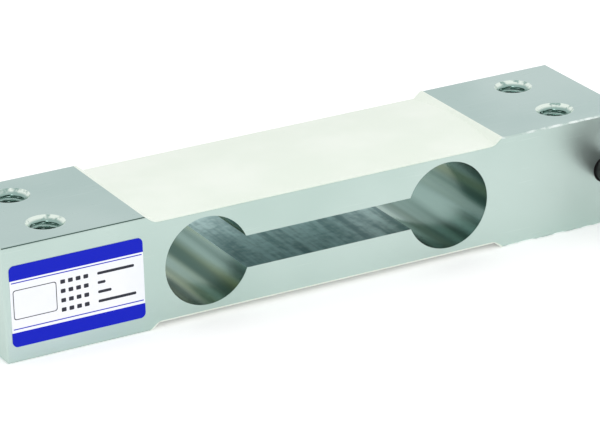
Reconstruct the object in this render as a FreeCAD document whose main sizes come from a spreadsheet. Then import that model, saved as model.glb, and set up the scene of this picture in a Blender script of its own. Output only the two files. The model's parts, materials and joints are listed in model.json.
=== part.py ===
import FreeCAD, Part
import math
import os

import Sketcher

# Single point load cell: a machined aluminium beam with two big cross bores joined by a slot, four strain
# gauges bonded over its thin webs, white sealing layers top and bottom, and a sealed signal cable.
# Millimetres. X runs along the beam to its cable end, Y to the back, Z up. The origin is the centre of the
# beam's underside.

Vector = FreeCAD.Vector
doc = FreeCAD.newDocument("LoadCell")

SIZES = {
    # beam
    "beam_length": 130,
    "beam_width": 30,
    "beam_height": 22,
    "end_length": 27.9,
    "recess_depth": 1.5,
    "ramp_run": 1.9,
    "ramp_radius": 2.5,
    "bore_inset": 12.1,
    "web_thickness": 1,
    "slot_height": 6.2,
    "edge_break": 0.3,
    # tapped mounting holes
    "mount_inset": 12,
    "mount_pitch": 15,
    "tap_diameter": 5,
    "countersink_diameter": 7.2,
    "countersink_angle": 90,
    # cable entry and the slanting ways from it to the two recesses
    "cable_inset": 5.35,
    "entry_depth": 17,
    "entry_tip_angle": 118,
    "way_diameter": 3.2,
    "way_turn": 14.5,
    "way_mouth_inset": 3.6,
    "way_mouth_offset": 5.85,
    # strain gauges
    "film_thickness": 0.08,
    "film_margin": 0.6,
    "foil_thickness": 0.03,
    "strand_length": 4,
    "strand_width": 0.22,
    "strand_pitch": 0.4,
    "strand_pairs": 5,
    "loop_length": 0.45,
    "tab_length": 1.5,
    "tab_width": 1.4,
    "tab_gap": 0.4,
    # boards under the sealing layers
    "board_length": 16,
    "terminal_length": 10,
    "board_width": 16,
    "board_thickness": 0.3,
    "pad_length": 1.4,
    "pad_width": 0.7,
    "pad_thickness": 0.03,
    "chip_length": 1.6,
    "chip_width": 0.8,
    "chip_thickness": 0.35,
    "chip_spacing": 4.4,
    "chip_pitch": 6,
    # ribbons from the gauges, and leads to the cable
    "ribbon_width": 0.35,
    "ribbon_thickness": 0.06,
    "lead_diameter": 0.4,
    "lead_pitch": 0.6,
    "lead_row": 0.45,
    "lead_clearance": 0.02,
    # sealing layers
    "seal_film": 0.3,
    "seal_crown": 0.8,
    "seal_inset": 0.1,
    # label
    "label_length": 26,
    "label_height": 15.4,
    "label_thickness": 0.12,
    "label_radius": 1,
    "label_inset": 1.2,
    "label_rise": 2.95,
    # cable
    "cable_diameter": 5,
    "cable_grip": 7,
    "entry_gap": 0.15,
    "splice_diameter": 4.4,
    "splice_length": 2,
    "coil_turns": 2,
    "coil_start_radius": 22.5,
    "coil_pitch": 5.2,
    "coil_approach": 20,
    "coil_dive": 30,
    "coil_tail": 19,
    # stripped end
    "sleeve_diameter": 5.8,
    "sleeve_length": 14,
    "sleeve_break": 0.3,
    "core_diameter": 1.2,
    "core_length": 22,
    "core_pitch": 1.32,
    "core_end_height": 1.2,
    "core_fan": 2.2,
    "drain_diameter": 0.8,
    "tip_diameter": 0.7,
    "tip_length": 4,
}

sheet = doc.addObject("Spreadsheet::Sheet", "Sizes")
for row, (alias, number) in enumerate(SIZES.items(), start=1):
    sheet.set(f"A{row}", alias)
    sheet.set(f"B{row}", str(number))
    sheet.setAlias(f"B{row}", alias)
doc.recompute()


def value(formula):
    """The number that a formula in the sheet's names gives, in millimetres or degrees."""
    answer = sheet.evalExpression(formula.replace("Sizes.", ""))
    return float(getattr(answer, "Value", answer))


# Formulas that several pieces share.
HALF_LENGTH = "(Sizes.beam_length / 2)"
HALF_WIDTH = "(Sizes.beam_width / 2)"
MIDDLE = "(Sizes.beam_height / 2)"
SHOULDER = "(Sizes.beam_length / 2 - Sizes.end_length)"
RAMP_FOOT = "(Sizes.beam_length / 2 - Sizes.end_length - Sizes.ramp_run)"
GAUGE_X = f"({SHOULDER} - Sizes.bore_inset)"
BORE_DIAMETER = "(Sizes.beam_height - 2 * (Sizes.recess_depth + Sizes.web_thickness))"
MOUNT_X = f"({HALF_LENGTH} - Sizes.mount_inset)"
ENTRY_X = "(Sizes.beam_length / 2 - Sizes.cable_inset)"
MOUTH_X = f"({SHOULDER} - Sizes.way_mouth_inset)"
TURN_Y = "(Sizes.way_turn - Sizes.beam_width / 2)"
JACKET_END = "(Sizes.cable_grip - Sizes.beam_width / 2)"
LEAD_START = f"({JACKET_END} + Sizes.splice_length)"
ENTRY_DIAMETER = "(Sizes.cable_diameter + 2 * Sizes.entry_gap)"
GRID_END = "(Sizes.strand_length / 2 + Sizes.loop_length)"
HALF_GRID = "(Sizes.strand_pairs * Sizes.strand_pitch)"
TAB_RIGHT = f"(-{GRID_END} - Sizes.tab_gap)"
TAB_LEFT = f"({TAB_RIGHT} - Sizes.tab_length)"
TAB_Y = f"({HALF_GRID} + Sizes.strand_width / 2 - Sizes.tab_width / 2)"
FILM_HALF = f"({HALF_GRID} + Sizes.strand_width / 2 + Sizes.film_margin)"
GAUGE_TOP = "(Sizes.film_thickness + Sizes.foil_thickness)"
PAD_TOP = "(Sizes.board_thickness + Sizes.pad_thickness)"
CABLE_RADIUS = "(Sizes.cable_diameter / 2)"

# Each side of the beam has its own floor and outward direction: the top looks up, the bottom looks down.
FLOORS = {
    "top": "(Sizes.beam_height - Sizes.recess_depth)",
    "bottom": "Sizes.recess_depth",
}
OUTER = {"top": "Sizes.beam_height", "bottom": "0"}
SIGNS = {"top": 1, "bottom": -1}
BOARD_LENGTHS = {"top": "Sizes.board_length", "bottom": "Sizes.terminal_length"}


def level(side, height):
    """Formula for a height above a side's recess floor, measured outwards."""
    return f"({FLOORS[side]} + {SIGNS[side]} * ({height}))"


# ---------------------------------------------------------------- helpers


def new_body(label):
    body = doc.addObject("PartDesign::Body", label)
    body.Label = label
    return body


def origin_plane(body, role):
    return next(item for item in body.Origin.OriginFeatures if item.Role == role)


def new_sketch(body, name, role, offset="0"):
    """A sketch on one of the body's own origin planes, moved along that plane's normal."""
    sketch = body.newObject("Sketcher::SketchObject", name)
    sketch.AttachmentSupport = [(origin_plane(body, role), "")]
    sketch.MapMode = "FlatFace"
    sketch.setExpression("AttachmentOffset.Base.z", offset)
    return sketch


def pin_point(sketch, edge, end, place):
    """Ties one end of a sketch edge to a pair of formulas."""
    for kind, formula in zip(("DistanceX", "DistanceY"), place):
        index = sketch.addConstraint(Sketcher.Constraint(kind, -1, 1, edge, end, value(formula)))
        sketch.setExpression(f"Constraints[{index}]", formula)


def outline(sketch, places):
    """A closed outline of straight edges through the given places, each a pair of formulas."""
    first = sketch.GeometryCount
    corners = [Vector(value(across), value(up), 0) for across, up in places]
    count = len(corners)
    for index, corner in enumerate(corners):
        sketch.addGeometry(Part.LineSegment(corner, corners[(index + 1) % count]), False)
    for index, place in enumerate(places):
        following = first + (index + 1) % count
        sketch.addConstraint(Sketcher.Constraint("Coincident", first + index, 2, following, 1))
        pin_point(sketch, first + index, 1, place)


def rectangle(sketch, left, right, low, high):
    outline(sketch, [(left, low), (right, low), (right, high), (left, high)])


def circle(sketch, across, up, diameter):
    index = sketch.addGeometry(
        Part.Circle(Vector(value(across), value(up), 0), Vector(0, 0, 1), value(diameter) / 2), False
    )
    pin_point(sketch, index, 3, (across, up))
    radius = sketch.addConstraint(Sketcher.Constraint("Radius", index, value(diameter) / 2))
    sketch.setExpression(f"Constraints[{radius}]", f"{diameter} / 2")


def pad(body, sketch, name, length, symmetric=False):
    feature = body.newObject("PartDesign::Pad", name)
    feature.Profile = sketch
    feature.setExpression("Length", length)
    feature.SideType = "Symmetric" if symmetric else "One side"
    doc.recompute()
    return feature


def pocket_through(body, sketch, name):
    """Cuts a profile on the XZ plane through the whole width of the beam."""
    before = body.Shape.Volume
    feature = body.newObject("PartDesign::Pocket", name)
    feature.Profile = sketch
    feature.SideType = "Symmetric"
    feature.setExpression("Length", "Sizes.beam_width + 2")
    doc.recompute()
    if not feature.Shape.Volume < before - 1e-6:
        raise RuntimeError(f"{name} cuts nothing")
    return feature


def edges_across(feature, test=lambda point: True):
    """Names of a feature's straight edges that run along Y and whose ends pass the test."""
    return [
        f"Edge{index}"
        for index, edge in enumerate(feature.Shape.Edges, start=1)
        if isinstance(edge.Curve, Part.Line)
        and abs(edge.tangentAt(edge.FirstParameter).y) > 0.999
        and test(edge.Vertexes[0].Point)
    ]


def dress(body, kind, name, base, edges, size):
    """A fillet or chamfer on named edges of a feature."""
    feature = body.newObject(f"PartDesign::{kind}", name)
    feature.Base = (base, edges)
    feature.setExpression("Radius" if kind == "Fillet" else "Size", size)
    doc.recompute()
    return feature


def new_box(label, length, width, height, across, back, up):
    """A box, centred along X and Y on a place, that stands on a height."""
    box = doc.addObject("Part::Box", label)
    box.Label = label
    for name, formula in (("Length", length), ("Width", width), ("Height", height)):
        box.setExpression(name, formula)
    box.setExpression("Placement.Base.x", f"{across} - ({length}) / 2")
    box.setExpression("Placement.Base.y", f"{back} - ({width}) / 2")
    box.setExpression("Placement.Base.z", up)
    return box


def group(label, members):
    """Separate solids of one kind, kept together as one node."""
    item = doc.addObject("Part::Compound", label)
    item.Label = label
    item.Links = members
    return item


def stands(side, height, thickness):
    """Lowest Z of a flat piece that lies a height above a side's floor."""
    return level(side, height if side == "top" else f"{height} + {thickness}")


def smooth_path(points):
    """Straight runs joined by tangent arcs, each nearly as large as its two runs allow."""
    edges, radii, start = [], [], points[0]
    for before, corner, after in zip(points, points[1:], points[2:]):
        into, out = (corner - before).normalize(), (after - corner).normalize()
        half_turn = into.getAngle(out) / 2
        shorter = min((corner - before).Length, (after - corner).Length)
        radius = 0.45 * shorter / math.tan(half_turn)
        reach = radius * math.tan(half_turn)
        first, last = corner - into * reach, corner + out * reach
        inward = (out - into).normalize()
        middle = corner + inward * radius * (1 / math.cos(half_turn) - 1)
        edges += [Part.LineSegment(start, first).toShape(), Part.Arc(first, middle, last).toShape()]
        radii.append(radius)
        start = last
    edges.append(Part.LineSegment(start, points[-1]).toShape())
    return Part.Wire(edges), radii


def tube(points, diameter):
    """A round solid along a path of runs and arcs, with the arcs' radii."""
    path, radii = smooth_path(points)
    ring = Part.Circle(points[0], (points[1] - points[0]).normalize(), diameter / 2).toShape()
    solid = path.makePipeShell([Part.Wire([ring])], True, False)
    expected = math.pi * diameter**2 / 4 * path.Length
    if abs(solid.Volume - expected) > 0.01 * expected:
        raise RuntimeError("a tube's volume is not its section times its length")
    return solid, radii, path.Length


def wire(points, diameter, flats=12):
    """A thin wire along straight runs with mitred corners. Few flats keep the many hidden ones light."""
    along = (points[1] - points[0]).normalize()
    across = along.cross(Vector(0, 0, 1)).normalize() * diameter / 2
    corners = [FreeCAD.Rotation(along, 360 * step / flats).multVec(across) for step in range(flats)]
    ring = Part.makePolygon([points[0] + corner for corner in [*corners, corners[0]]])
    right_corners = 1
    return Part.makePolygon(points).makePipeShell([ring], True, False, right_corners)


def feature_of(label, shape):
    item = doc.addObject("Part::Feature", label)
    item.Label = label
    item.Shape = shape
    return item


# ---------------------------------------------------------------- beam


def cut_recess(body, base, side):
    """The shallow waist on one side, with a ramp at each end."""
    out = SIGNS[side]
    rim = f"({OUTER[side]} + {out})"
    sketch = new_sketch(body, f"recess_{side}_outline", "XZ_Plane")
    outline(
        sketch,
        [
            (f"-{RAMP_FOOT}", FLOORS[side]),
            (RAMP_FOOT, FLOORS[side]),
            (SHOULDER, OUTER[side]),
            (SHOULDER, rim),
            (f"-{SHOULDER}", rim),
            (f"-{SHOULDER}", OUTER[side]),
        ],
    )
    recess = pocket_through(body, sketch, f"recess_{side}")
    foot, floor = value(RAMP_FOOT), value(FLOORS[side])
    corners = edges_across(
        recess, lambda point: abs(abs(point.x) - foot) < 1e-4 and abs(point.z - floor) < 1e-4
    )
    return dress(body, "Fillet", f"ramp_{side}", recess, corners, "Sizes.ramp_radius")


def cut_mount_holes(body, side):
    """Four tapping holes with countersunk mouths, drilled right through from one side."""
    sketch = new_sketch(body, f"mount_holes_{side}_centres", "XY_Plane", OUTER[side])
    for end in ("-", ""):
        for row in ("-", ""):
            place = (f"{end}{MOUNT_X}", f"{row}Sizes.mount_pitch / 2")
            circle(sketch, *place, "Sizes.tap_diameter")
    doc.recompute()
    holes = body.newObject("PartDesign::Hole", f"mount_holes_{side}")
    holes.Profile = sketch
    doc.recompute()
    holes.ThreadType = "None"
    holes.setExpression("Diameter", "Sizes.tap_diameter")
    holes.DepthType = "ThroughAll"
    holes.HoleCutType = "Countersink"
    holes.HoleCutCustomValues = True
    holes.setExpression("HoleCutDiameter", "Sizes.countersink_diameter")
    holes.setExpression("HoleCutCountersinkAngle", "Sizes.countersink_angle")
    holes.Reversed = side == "bottom"
    doc.recompute()


def cut_cable_entry(body):
    """The blind hole in the front face that takes the cable."""
    sketch = new_sketch(body, "cable_entry_centre", "XZ_Plane", HALF_WIDTH)
    circle(sketch, ENTRY_X, MIDDLE, ENTRY_DIAMETER)
    doc.recompute()
    hole = body.newObject("PartDesign::Hole", "cable_entry")
    hole.Profile = sketch
    doc.recompute()
    hole.ThreadType = "None"
    hole.setExpression("Diameter", ENTRY_DIAMETER)
    hole.DepthType = "Dimension"
    hole.setExpression("Depth", "Sizes.entry_depth")
    hole.DrillPoint = "Angled"
    hole.setExpression("DrillPointAngle", "Sizes.entry_tip_angle")
    doc.recompute()


def cut_wire_way(body, side):
    """A slanting drilled way from the cable entry out to the end of a recess."""
    back = f"(Sizes.way_mouth_offset - {TURN_Y})"
    run = f"({ENTRY_X} - {MOUTH_X})"
    rise = f"({MIDDLE} - Sizes.recess_depth)"
    flat = f"sqrt({run} ^ 2 + {back} ^ 2)"
    tilt = f"atan({flat} / {rise})" if side == "top" else f"(180 deg - atan({flat} / {rise}))"
    way = body.newObject("PartDesign::SubtractiveCylinder", f"wire_way_{side}")
    way.AttachmentSupport = [(origin_plane(body, "XY_Plane"), "")]
    way.MapMode = "FlatFace"
    way.setExpression("Radius", "Sizes.way_diameter / 2")
    way.setExpression("Height", f"1.15 * sqrt({flat} ^ 2 + {rise} ^ 2)")
    way.setExpression(
        "AttachmentOffset",
        f"placement(vector({ENTRY_X}; {TURN_Y}; {MIDDLE}); rotation(vector(-{back}; -{run}; 0); {tilt}))",
    )
    doc.recompute()


def build_beam():
    body = new_body("beam")
    plan = new_sketch(body, "block_plan", "XY_Plane")
    rectangle(plan, f"-{HALF_LENGTH}", HALF_LENGTH, f"-{HALF_WIDTH}", HALF_WIDTH)
    block = pad(body, plan, "block", "Sizes.beam_height")
    every_edge = [f"Edge{index}" for index in range(1, len(block.Shape.Edges) + 1)]
    last = dress(body, "Chamfer", "broken_edges", block, every_edge, "Sizes.edge_break")
    for side in FLOORS:
        last = cut_recess(body, last, side)
    bores = new_sketch(body, "bore_centres", "XZ_Plane")
    circle(bores, f"-{GAUGE_X}", MIDDLE, BORE_DIAMETER)
    circle(bores, GAUGE_X, MIDDLE, BORE_DIAMETER)
    pocket_through(body, bores, "bores")
    slot = new_sketch(body, "slot_outline", "XZ_Plane")
    low, high = (f"{MIDDLE} {sign} Sizes.slot_height / 2" for sign in "-+")
    rectangle(slot, f"-{GAUGE_X}", GAUGE_X, low, high)
    pocket_through(body, slot, "slot")
    for side in FLOORS:
        cut_mount_holes(body, side)
    cut_cable_entry(body)
    for side in FLOORS:
        cut_wire_way(body, side)
    return body


# ---------------------------------------------------------------- strain gauges

# Each gauge is drawn lying on a floor at the origin with its solder tabs towards -X, then turned into place.
GAUGES = {
    "top_right": ("top", "", (Vector(0, 0, 1), 0)),
    "top_left": ("top", "-", (Vector(0, 0, 1), 180)),
    "bottom_right": ("bottom", "", (Vector(1, 0, 0), 180)),
    "bottom_left": ("bottom", "-", (Vector(0, 1, 0), 180)),
}


def seat_gauge_piece(piece, spot):
    side, sign, turn = GAUGES[spot]
    piece.Placement = FreeCAD.Placement(Vector(), FreeCAD.Rotation(*turn))
    piece.setExpression("Placement.Base.x", f"{sign}{GAUGE_X}")
    piece.setExpression("Placement.Base.z", FLOORS[side])


def build_film(label, spot, height):
    """The carrier film, which stands a margin proud of the grid all round."""
    body = new_body(label)
    sketch = new_sketch(body, f"{label}_plan", "XY_Plane")
    left, right = f"{TAB_LEFT} - Sizes.film_margin", f"{GRID_END} + Sizes.film_margin"
    rectangle(sketch, left, right, f"-{FILM_HALF}", FILM_HALF)
    pad(body, sketch, f"{label}_sheet", height)
    seat_gauge_piece(body, spot)
    return body


def build_grid(spot):
    """The etched foil: strands that run to and fro, with a loop at each end, and two solder tabs."""
    label = f"gauge_grid_{spot}"
    body = new_body(label)
    half_strand = "Sizes.strand_width / 2"
    inner, pitch = "Sizes.strand_length / 2", "Sizes.strand_pitch"
    cell = new_sketch(body, f"{label}_pair", "XY_Plane", "Sizes.film_thickness")
    outline(
        cell,
        [
            (f"-{GRID_END}", f"-{HALF_GRID} - {half_strand}"),
            (GRID_END, f"-{HALF_GRID} - {half_strand}"),
            (GRID_END, f"-{HALF_GRID} + {pitch} + {half_strand}"),
            (f"-{inner}", f"-{HALF_GRID} + {pitch} + {half_strand}"),
            (f"-{inner}", f"-{HALF_GRID} + 2 * {pitch} + {half_strand}"),
            (f"-{GRID_END}", f"-{HALF_GRID} + 2 * {pitch} + {half_strand}"),
            (f"-{GRID_END}", f"-{HALF_GRID} + {pitch} - {half_strand}"),
            (inner, f"-{HALF_GRID} + {pitch} - {half_strand}"),
            (inner, f"-{HALF_GRID} + {half_strand}"),
            (f"-{GRID_END}", f"-{HALF_GRID} + {half_strand}"),
        ],
    )
    strands = pad(body, cell, f"{label}_strands", "Sizes.foil_thickness")
    rows = body.newObject("PartDesign::LinearPattern", f"{label}_rows")
    rows.Originals = [strands]
    rows.Direction = (cell, ["V_Axis"])
    rows.setExpression("Length", "2 * Sizes.strand_pitch * (Sizes.strand_pairs - 1)")
    rows.setExpression("Occurrences", "Sizes.strand_pairs")
    body.Tip = rows
    doc.recompute()
    tabs = new_sketch(body, f"{label}_tabs", "XY_Plane", "Sizes.film_thickness")
    for sign in ("-", ""):
        edge = f"{sign}({HALF_GRID} + {half_strand})"
        neck = f"{sign}({HALF_GRID} - {half_strand})"
        inside = f"{sign}({HALF_GRID} + {half_strand} - Sizes.tab_width)"
        outline(
            tabs,
            [
                (TAB_LEFT, edge),
                (f"-{inner}", edge),
                (f"-{inner}", neck),
                (TAB_RIGHT, neck),
                (TAB_RIGHT, inside),
                (TAB_LEFT, inside),
            ],
        )
    pad(body, tabs, f"{label}_tab_pad", "Sizes.foil_thickness")
    seat_gauge_piece(body, spot)


def build_ribbons(spot):
    """Two flat ribbons from a gauge's tabs up onto the pads at the edge of its board."""
    side = GAUGES[spot][0]
    label = f"gauge_ribbons_{spot}"
    board_edge = f"({BOARD_LENGTHS[side]} / 2 - {GAUGE_X})"
    places = [
        (f"{TAB_LEFT} + Sizes.tab_length / 2", GAUGE_TOP),
        (f"{TAB_LEFT} - Sizes.film_margin", GAUGE_TOP),
        (f"{board_edge} + Sizes.pad_width", PAD_TOP),
        (f"{board_edge} - Sizes.pad_length", PAD_TOP),
    ]
    over = [(across, f"{up} + Sizes.ribbon_thickness") for across, up in reversed(places)]
    members = []
    for name, sign in (("front", ""), ("back", "-")):
        body = new_body(f"{label}_{name}")
        middle = f"{sign}{TAB_Y} + Sizes.ribbon_width / 2"
        sketch = new_sketch(body, f"{label}_{name}_side", "XZ_Plane", middle)
        outline(sketch, places + over)
        ribbon = pad(body, sketch, f"{label}_{name}_strip", "Sizes.ribbon_width")
        ribbon.Reversed = True
        members.append(body)
    seat_gauge_piece(group(label, members), spot)


# ---------------------------------------------------------------- boards under the sealing layers


def build_board(side):
    label = {"top": "circuit_board", "bottom": "terminal_board"}[side]
    height = stands(side, "0", "Sizes.board_thickness")
    length = BOARD_LENGTHS[side]
    return new_box(label, length, "Sizes.board_width", "Sizes.board_thickness", "0", "0", height)


def lead_steps(side):
    """Which places across the row the side's leads take, counted in pitches from its middle."""
    return {"top": (-1.5, -0.5, 0.5, 1.5), "bottom": (-1, 0, 1)}[side]


def lead_shift():
    """Sideways step from one lead to the next, so that they stay one pitch apart on both their legs."""
    run = value(f"{ENTRY_X} - {MOUTH_X}")
    back = value(f"Sizes.way_mouth_offset - {TURN_Y}")
    slant = math.hypot(run, back)
    pitch = value("Sizes.lead_pitch")
    return Vector(pitch, pitch * (slant - back) / run, 0)


def build_pads(side):
    """Copper pads for the ribbons at both edges and for the leads at the cable side."""
    label = f"solder_pads_{side}"
    height = stands(side, "Sizes.board_thickness", "Sizes.pad_thickness")
    inset = f"({BOARD_LENGTHS[side]} / 2 - Sizes.pad_length / 2)"
    sizes = ("Sizes.pad_length", "Sizes.pad_width", "Sizes.pad_thickness")
    places = [(f"{end}{inset}", f"{row}{TAB_Y}") for end in ("-", "") for row in ("-", "")]
    members = [
        new_box(f"{label}_ribbon_{index}", *sizes, across, back, height)
        for index, (across, back) in enumerate(places)
    ]
    step = lead_shift()
    narrow = ("Sizes.pad_length", "Sizes.lead_diameter", "Sizes.pad_thickness")
    for index, place in enumerate(lead_steps(side)):
        back = f"Sizes.way_mouth_offset + {place * step.y}"
        members.append(new_box(f"{label}_lead_{index}", *narrow, inset, back, height))
    return group(label, members)


def build_chips():
    """The four trimming resistors of the bridge."""
    height = stands("top", "Sizes.board_thickness", "Sizes.chip_thickness")
    sizes = ("Sizes.chip_length", "Sizes.chip_width", "Sizes.chip_thickness")
    members = []
    for end in ("-", ""):
        for row in ("-", ""):
            place = (f"{end}Sizes.chip_spacing / 2", f"{row}Sizes.chip_pitch / 2")
            members.append(new_box(f"trim_resistor_{len(members)}", *sizes, *place, height))
    return group("trim_resistors", members)


# ---------------------------------------------------------------- leads inside the beam

LEAD_NAMES = ("inner_lead_red", "inner_lead_black", "inner_lead_green", "inner_lead_white")


def lead_solid(side, place):
    """One thin lead: out of the splice, up or down its way, and along the floor onto its pad."""
    across = place * lead_shift()
    row = value(MIDDLE) + SIGNS[side] * value("Sizes.lead_row")
    floor = value(level(side, "Sizes.lead_diameter / 2 + Sizes.lead_clearance"))
    rest = value(level(side, f"{PAD_TOP} + Sizes.lead_diameter / 2 + Sizes.lead_clearance / 2"))
    turn = Vector(value(ENTRY_X), value(TURN_Y), row) + across
    mouth = Vector(value(MOUTH_X), value("Sizes.way_mouth_offset"), floor) + across
    start = Vector(turn.x, value(LEAD_START), row)
    edge = value(f"{BOARD_LENGTHS[side]} / 2")
    end = Vector(edge - value("Sizes.pad_length / 2"), mouth.y, rest)
    return wire([start, turn, mouth, end], value("Sizes.lead_diameter"))


def build_inner_leads():
    for label, place in zip(LEAD_NAMES, lead_steps("top")):
        feature_of(label, lead_solid("top", place))
    members = [
        feature_of(f"link_lead_{index}", lead_solid("bottom", place))
        for index, place in enumerate(lead_steps("bottom"))
    ]
    group("link_leads", members)


# ---------------------------------------------------------------- sealing layers


def build_recess_space(side):
    """The recess as a solid of its own, less a hair at the beam's two long faces."""
    body = new_body(f"recess_space_{side}")
    profile = new_sketch(body, f"recess_space_{side}_profile", "XZ_Plane")
    outline(
        profile,
        [
            (f"-{RAMP_FOOT}", FLOORS[side]),
            (RAMP_FOOT, FLOORS[side]),
            (SHOULDER, OUTER[side]),
            (f"-{SHOULDER}", OUTER[side]),
        ],
    )
    width = "Sizes.beam_width - 2 * Sizes.seal_inset"
    block = pad(body, profile, f"recess_space_{side}_block", width, symmetric=True)
    floor = value(FLOORS[side])
    feet = edges_across(block, lambda point: abs(point.z - floor) < 1e-4)
    dress(body, "Fillet", f"recess_space_{side}_feet", block, feet, "Sizes.ramp_radius")
    return body


def build_poured(side):
    """A thin film over the floor and up both ramps, under a low crown that runs the length of the recess."""
    body = new_body(f"poured_{side}")
    film_run = "Sizes.seal_film * sqrt(1 + (Sizes.ramp_run / Sizes.recess_depth) ^ 2)"
    film = level(side, "Sizes.seal_film")
    foot = f"({RAMP_FOOT} - {film_run} + Sizes.ramp_run * Sizes.seal_film / Sizes.recess_depth)"
    profile = new_sketch(body, f"poured_{side}_profile", "XZ_Plane")
    outline(
        profile,
        [
            (f"-{SHOULDER}", FLOORS[side]),
            (SHOULDER, FLOORS[side]),
            (SHOULDER, OUTER[side]),
            (f"{SHOULDER} - {film_run}", OUTER[side]),
            (foot, film),
            (f"-{foot}", film),
            (f"-{SHOULDER} + {film_run}", OUTER[side]),
            (f"-{SHOULDER}", OUTER[side]),
        ],
    )
    pad(body, profile, f"poured_{side}_film", "Sizes.beam_width", symmetric=True)

    half = f"({HALF_WIDTH} - Sizes.seal_inset)"
    radius = f"(({half} ^ 2 + Sizes.seal_crown ^ 2) / (2 * Sizes.seal_crown))"
    centre = level(side, f"Sizes.seal_film + Sizes.seal_crown - {radius}")
    section = new_sketch(body, f"poured_{side}_section", "YZ_Plane")
    reach = value(half)
    # The arc runs anticlockwise, as a sketch's arcs do: from the right on top, from the left below.
    first, last = ("", "-") if side == "top" else ("-", "")
    start, end = (Vector(reach if sign == "" else -reach, value(film), 0) for sign in (first, last))
    crest = Vector(0, value(level(side, "Sizes.seal_film + Sizes.seal_crown")), 0)
    arc = section.addGeometry(Part.Arc(start, crest, end), False)
    chord = section.addGeometry(Part.LineSegment(end, start), False)
    section.addConstraint(Sketcher.Constraint("Coincident", arc, 1, chord, 2))
    section.addConstraint(Sketcher.Constraint("Coincident", arc, 2, chord, 1))
    pin_point(section, chord, 1, (f"{last}{half}", film))
    pin_point(section, chord, 2, (f"{first}{half}", film))
    height = section.addConstraint(Sketcher.Constraint("DistanceY", -1, 1, arc, 3, value(centre)))
    section.setExpression(f"Constraints[{height}]", centre)
    pad(body, section, f"poured_{side}_crown", f"2 * {SHOULDER}", symmetric=True)
    return body


def build_seal(side, covered):
    """White compound poured over one recess and over all the wiring in it."""
    filled = doc.addObject("Part::Common", f"filled_{side}")
    filled.Base, filled.Tool = build_recess_space(side), build_poured(side)
    seal = doc.addObject("Part::Cut", f"seal_{side}")
    seal.Label = f"{side}_seal"
    seal.Base, seal.Tool = filled, group(f"covered_{side}", covered)
    return seal


# ---------------------------------------------------------------- label


def build_label():
    body = new_body("rating_label")
    sketch = new_sketch(body, "label_outline", "XZ_Plane", HALF_WIDTH)
    left = f"-{HALF_LENGTH} + Sizes.label_inset"
    right = f"{left} + Sizes.label_length"
    low, high = "Sizes.label_rise", "Sizes.label_rise + Sizes.label_height"
    rectangle(sketch, left, right, low, high)
    sheet_pad = pad(body, sketch, "label_sheet", "Sizes.label_thickness")
    dress(body, "Fillet", "label_corners", sheet_pad, edges_across(sheet_pad), "Sizes.label_radius")


# ---------------------------------------------------------------- cable


def turned_ring(label, inner, outer, front, depth):
    """A ring round the cable's axis, from a place along Y towards the back."""
    body = new_body(label)
    sketch = new_sketch(body, f"{label}_outline", "XZ_Plane", f"-({front})")
    circle(sketch, ENTRY_X, MIDDLE, outer)
    if inner:
        circle(sketch, ENTRY_X, MIDDLE, inner)
    ring = pad(body, sketch, f"{label}_body", depth)
    ring.Reversed = True
    return body


# The cable's free stretch: straight out of the beam's front, round towards +X, and down onto its own coil.
CABLE_ROUTE = [
    Vector(59.65, -8, 11),
    Vector(59.65, -23.2, 11),
    Vector(67.3, -36.4, 10.6),
    Vector(80.5, -44, 9.7),
    Vector(95.8, -44, 7.6),
]


def build_cable():
    """The bent stretch of cable, and the coil that the rest of it is wound into, flat on the floor."""
    solid, radii, length = tube(CABLE_ROUTE, value("Sizes.cable_diameter"))
    print("cable arcs, radii in mm:", [round(radius, 1) for radius in radii])
    feature_of("signal_cable", solid)

    first, pitch, turns = (value(f"Sizes.coil_{name}") for name in ("start_radius", "pitch", "turns"))
    radius, tail = value(CABLE_RADIUS), value("Sizes.coil_tail")
    entry = CABLE_ROUTE[-1]
    centre = Vector(entry.x + value("Sizes.coil_approach"), entry.y + first, 0)
    last = first + pitch * turns

    body = new_body("coil_turns")
    section = new_sketch(body, "coil_turns_section", "XZ_Plane")
    inner = "(Sizes.coil_start_radius - Sizes.cable_diameter / 2)"
    outer = "(Sizes.coil_start_radius + Sizes.coil_pitch * Sizes.coil_turns + Sizes.cable_diameter / 2)"
    corner = "Sizes.cable_diameter / 4"
    outline(
        section,
        [
            (inner, "0"),
            (outer, "0"),
            (outer, f"Sizes.cable_diameter - {corner}"),
            (f"{outer} - {corner}", "Sizes.cable_diameter"),
            (f"{inner} + {corner}", "Sizes.cable_diameter"),
            (inner, f"Sizes.cable_diameter - {corner}"),
        ],
    )
    turned = body.newObject("PartDesign::Revolution", "coil_turns_ring")
    turned.Profile = section
    turned.ReferenceAxis = (section, ["V_Axis"])
    turned.Angle = 360
    body.Placement = FreeCAD.Placement(centre, FreeCAD.Rotation())

    downhill = (entry - CABLE_ROUTE[-2]).normalize()
    lift = value("(Sizes.sleeve_diameter - Sizes.cable_diameter) / 2") + 0.05
    outlet = Vector(centre.x, centre.y - last, radius)
    onward = Vector(tail, 0, lift).normalize()
    stubs = []
    for name, place, along, reach in (
        ("coil_way_in", entry, downhill, value("Sizes.coil_dive")),
        ("coil_way_out", outlet, onward, tail),
    ):
        stub = doc.addObject("Part::Cylinder", name)
        stub.setExpression("Radius", CABLE_RADIUS)
        stub.Height = reach
        stub.Placement = FreeCAD.Placement(place, FreeCAD.Rotation(Vector(0, 0, 1), along))
        stubs.append(stub)
    coil = doc.addObject("Part::MultiFuse", "cable_coil")
    coil.Label = "cable_coil"
    coil.Shapes = [body, *stubs]
    wound = math.pi * turns * (first + last)
    outside = length - value("Sizes.cable_grip")
    print("cable length in mm:", round(outside + value("Sizes.coil_approach") + wound + tail, 1))
    return outlet + onward * tail, onward


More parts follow.
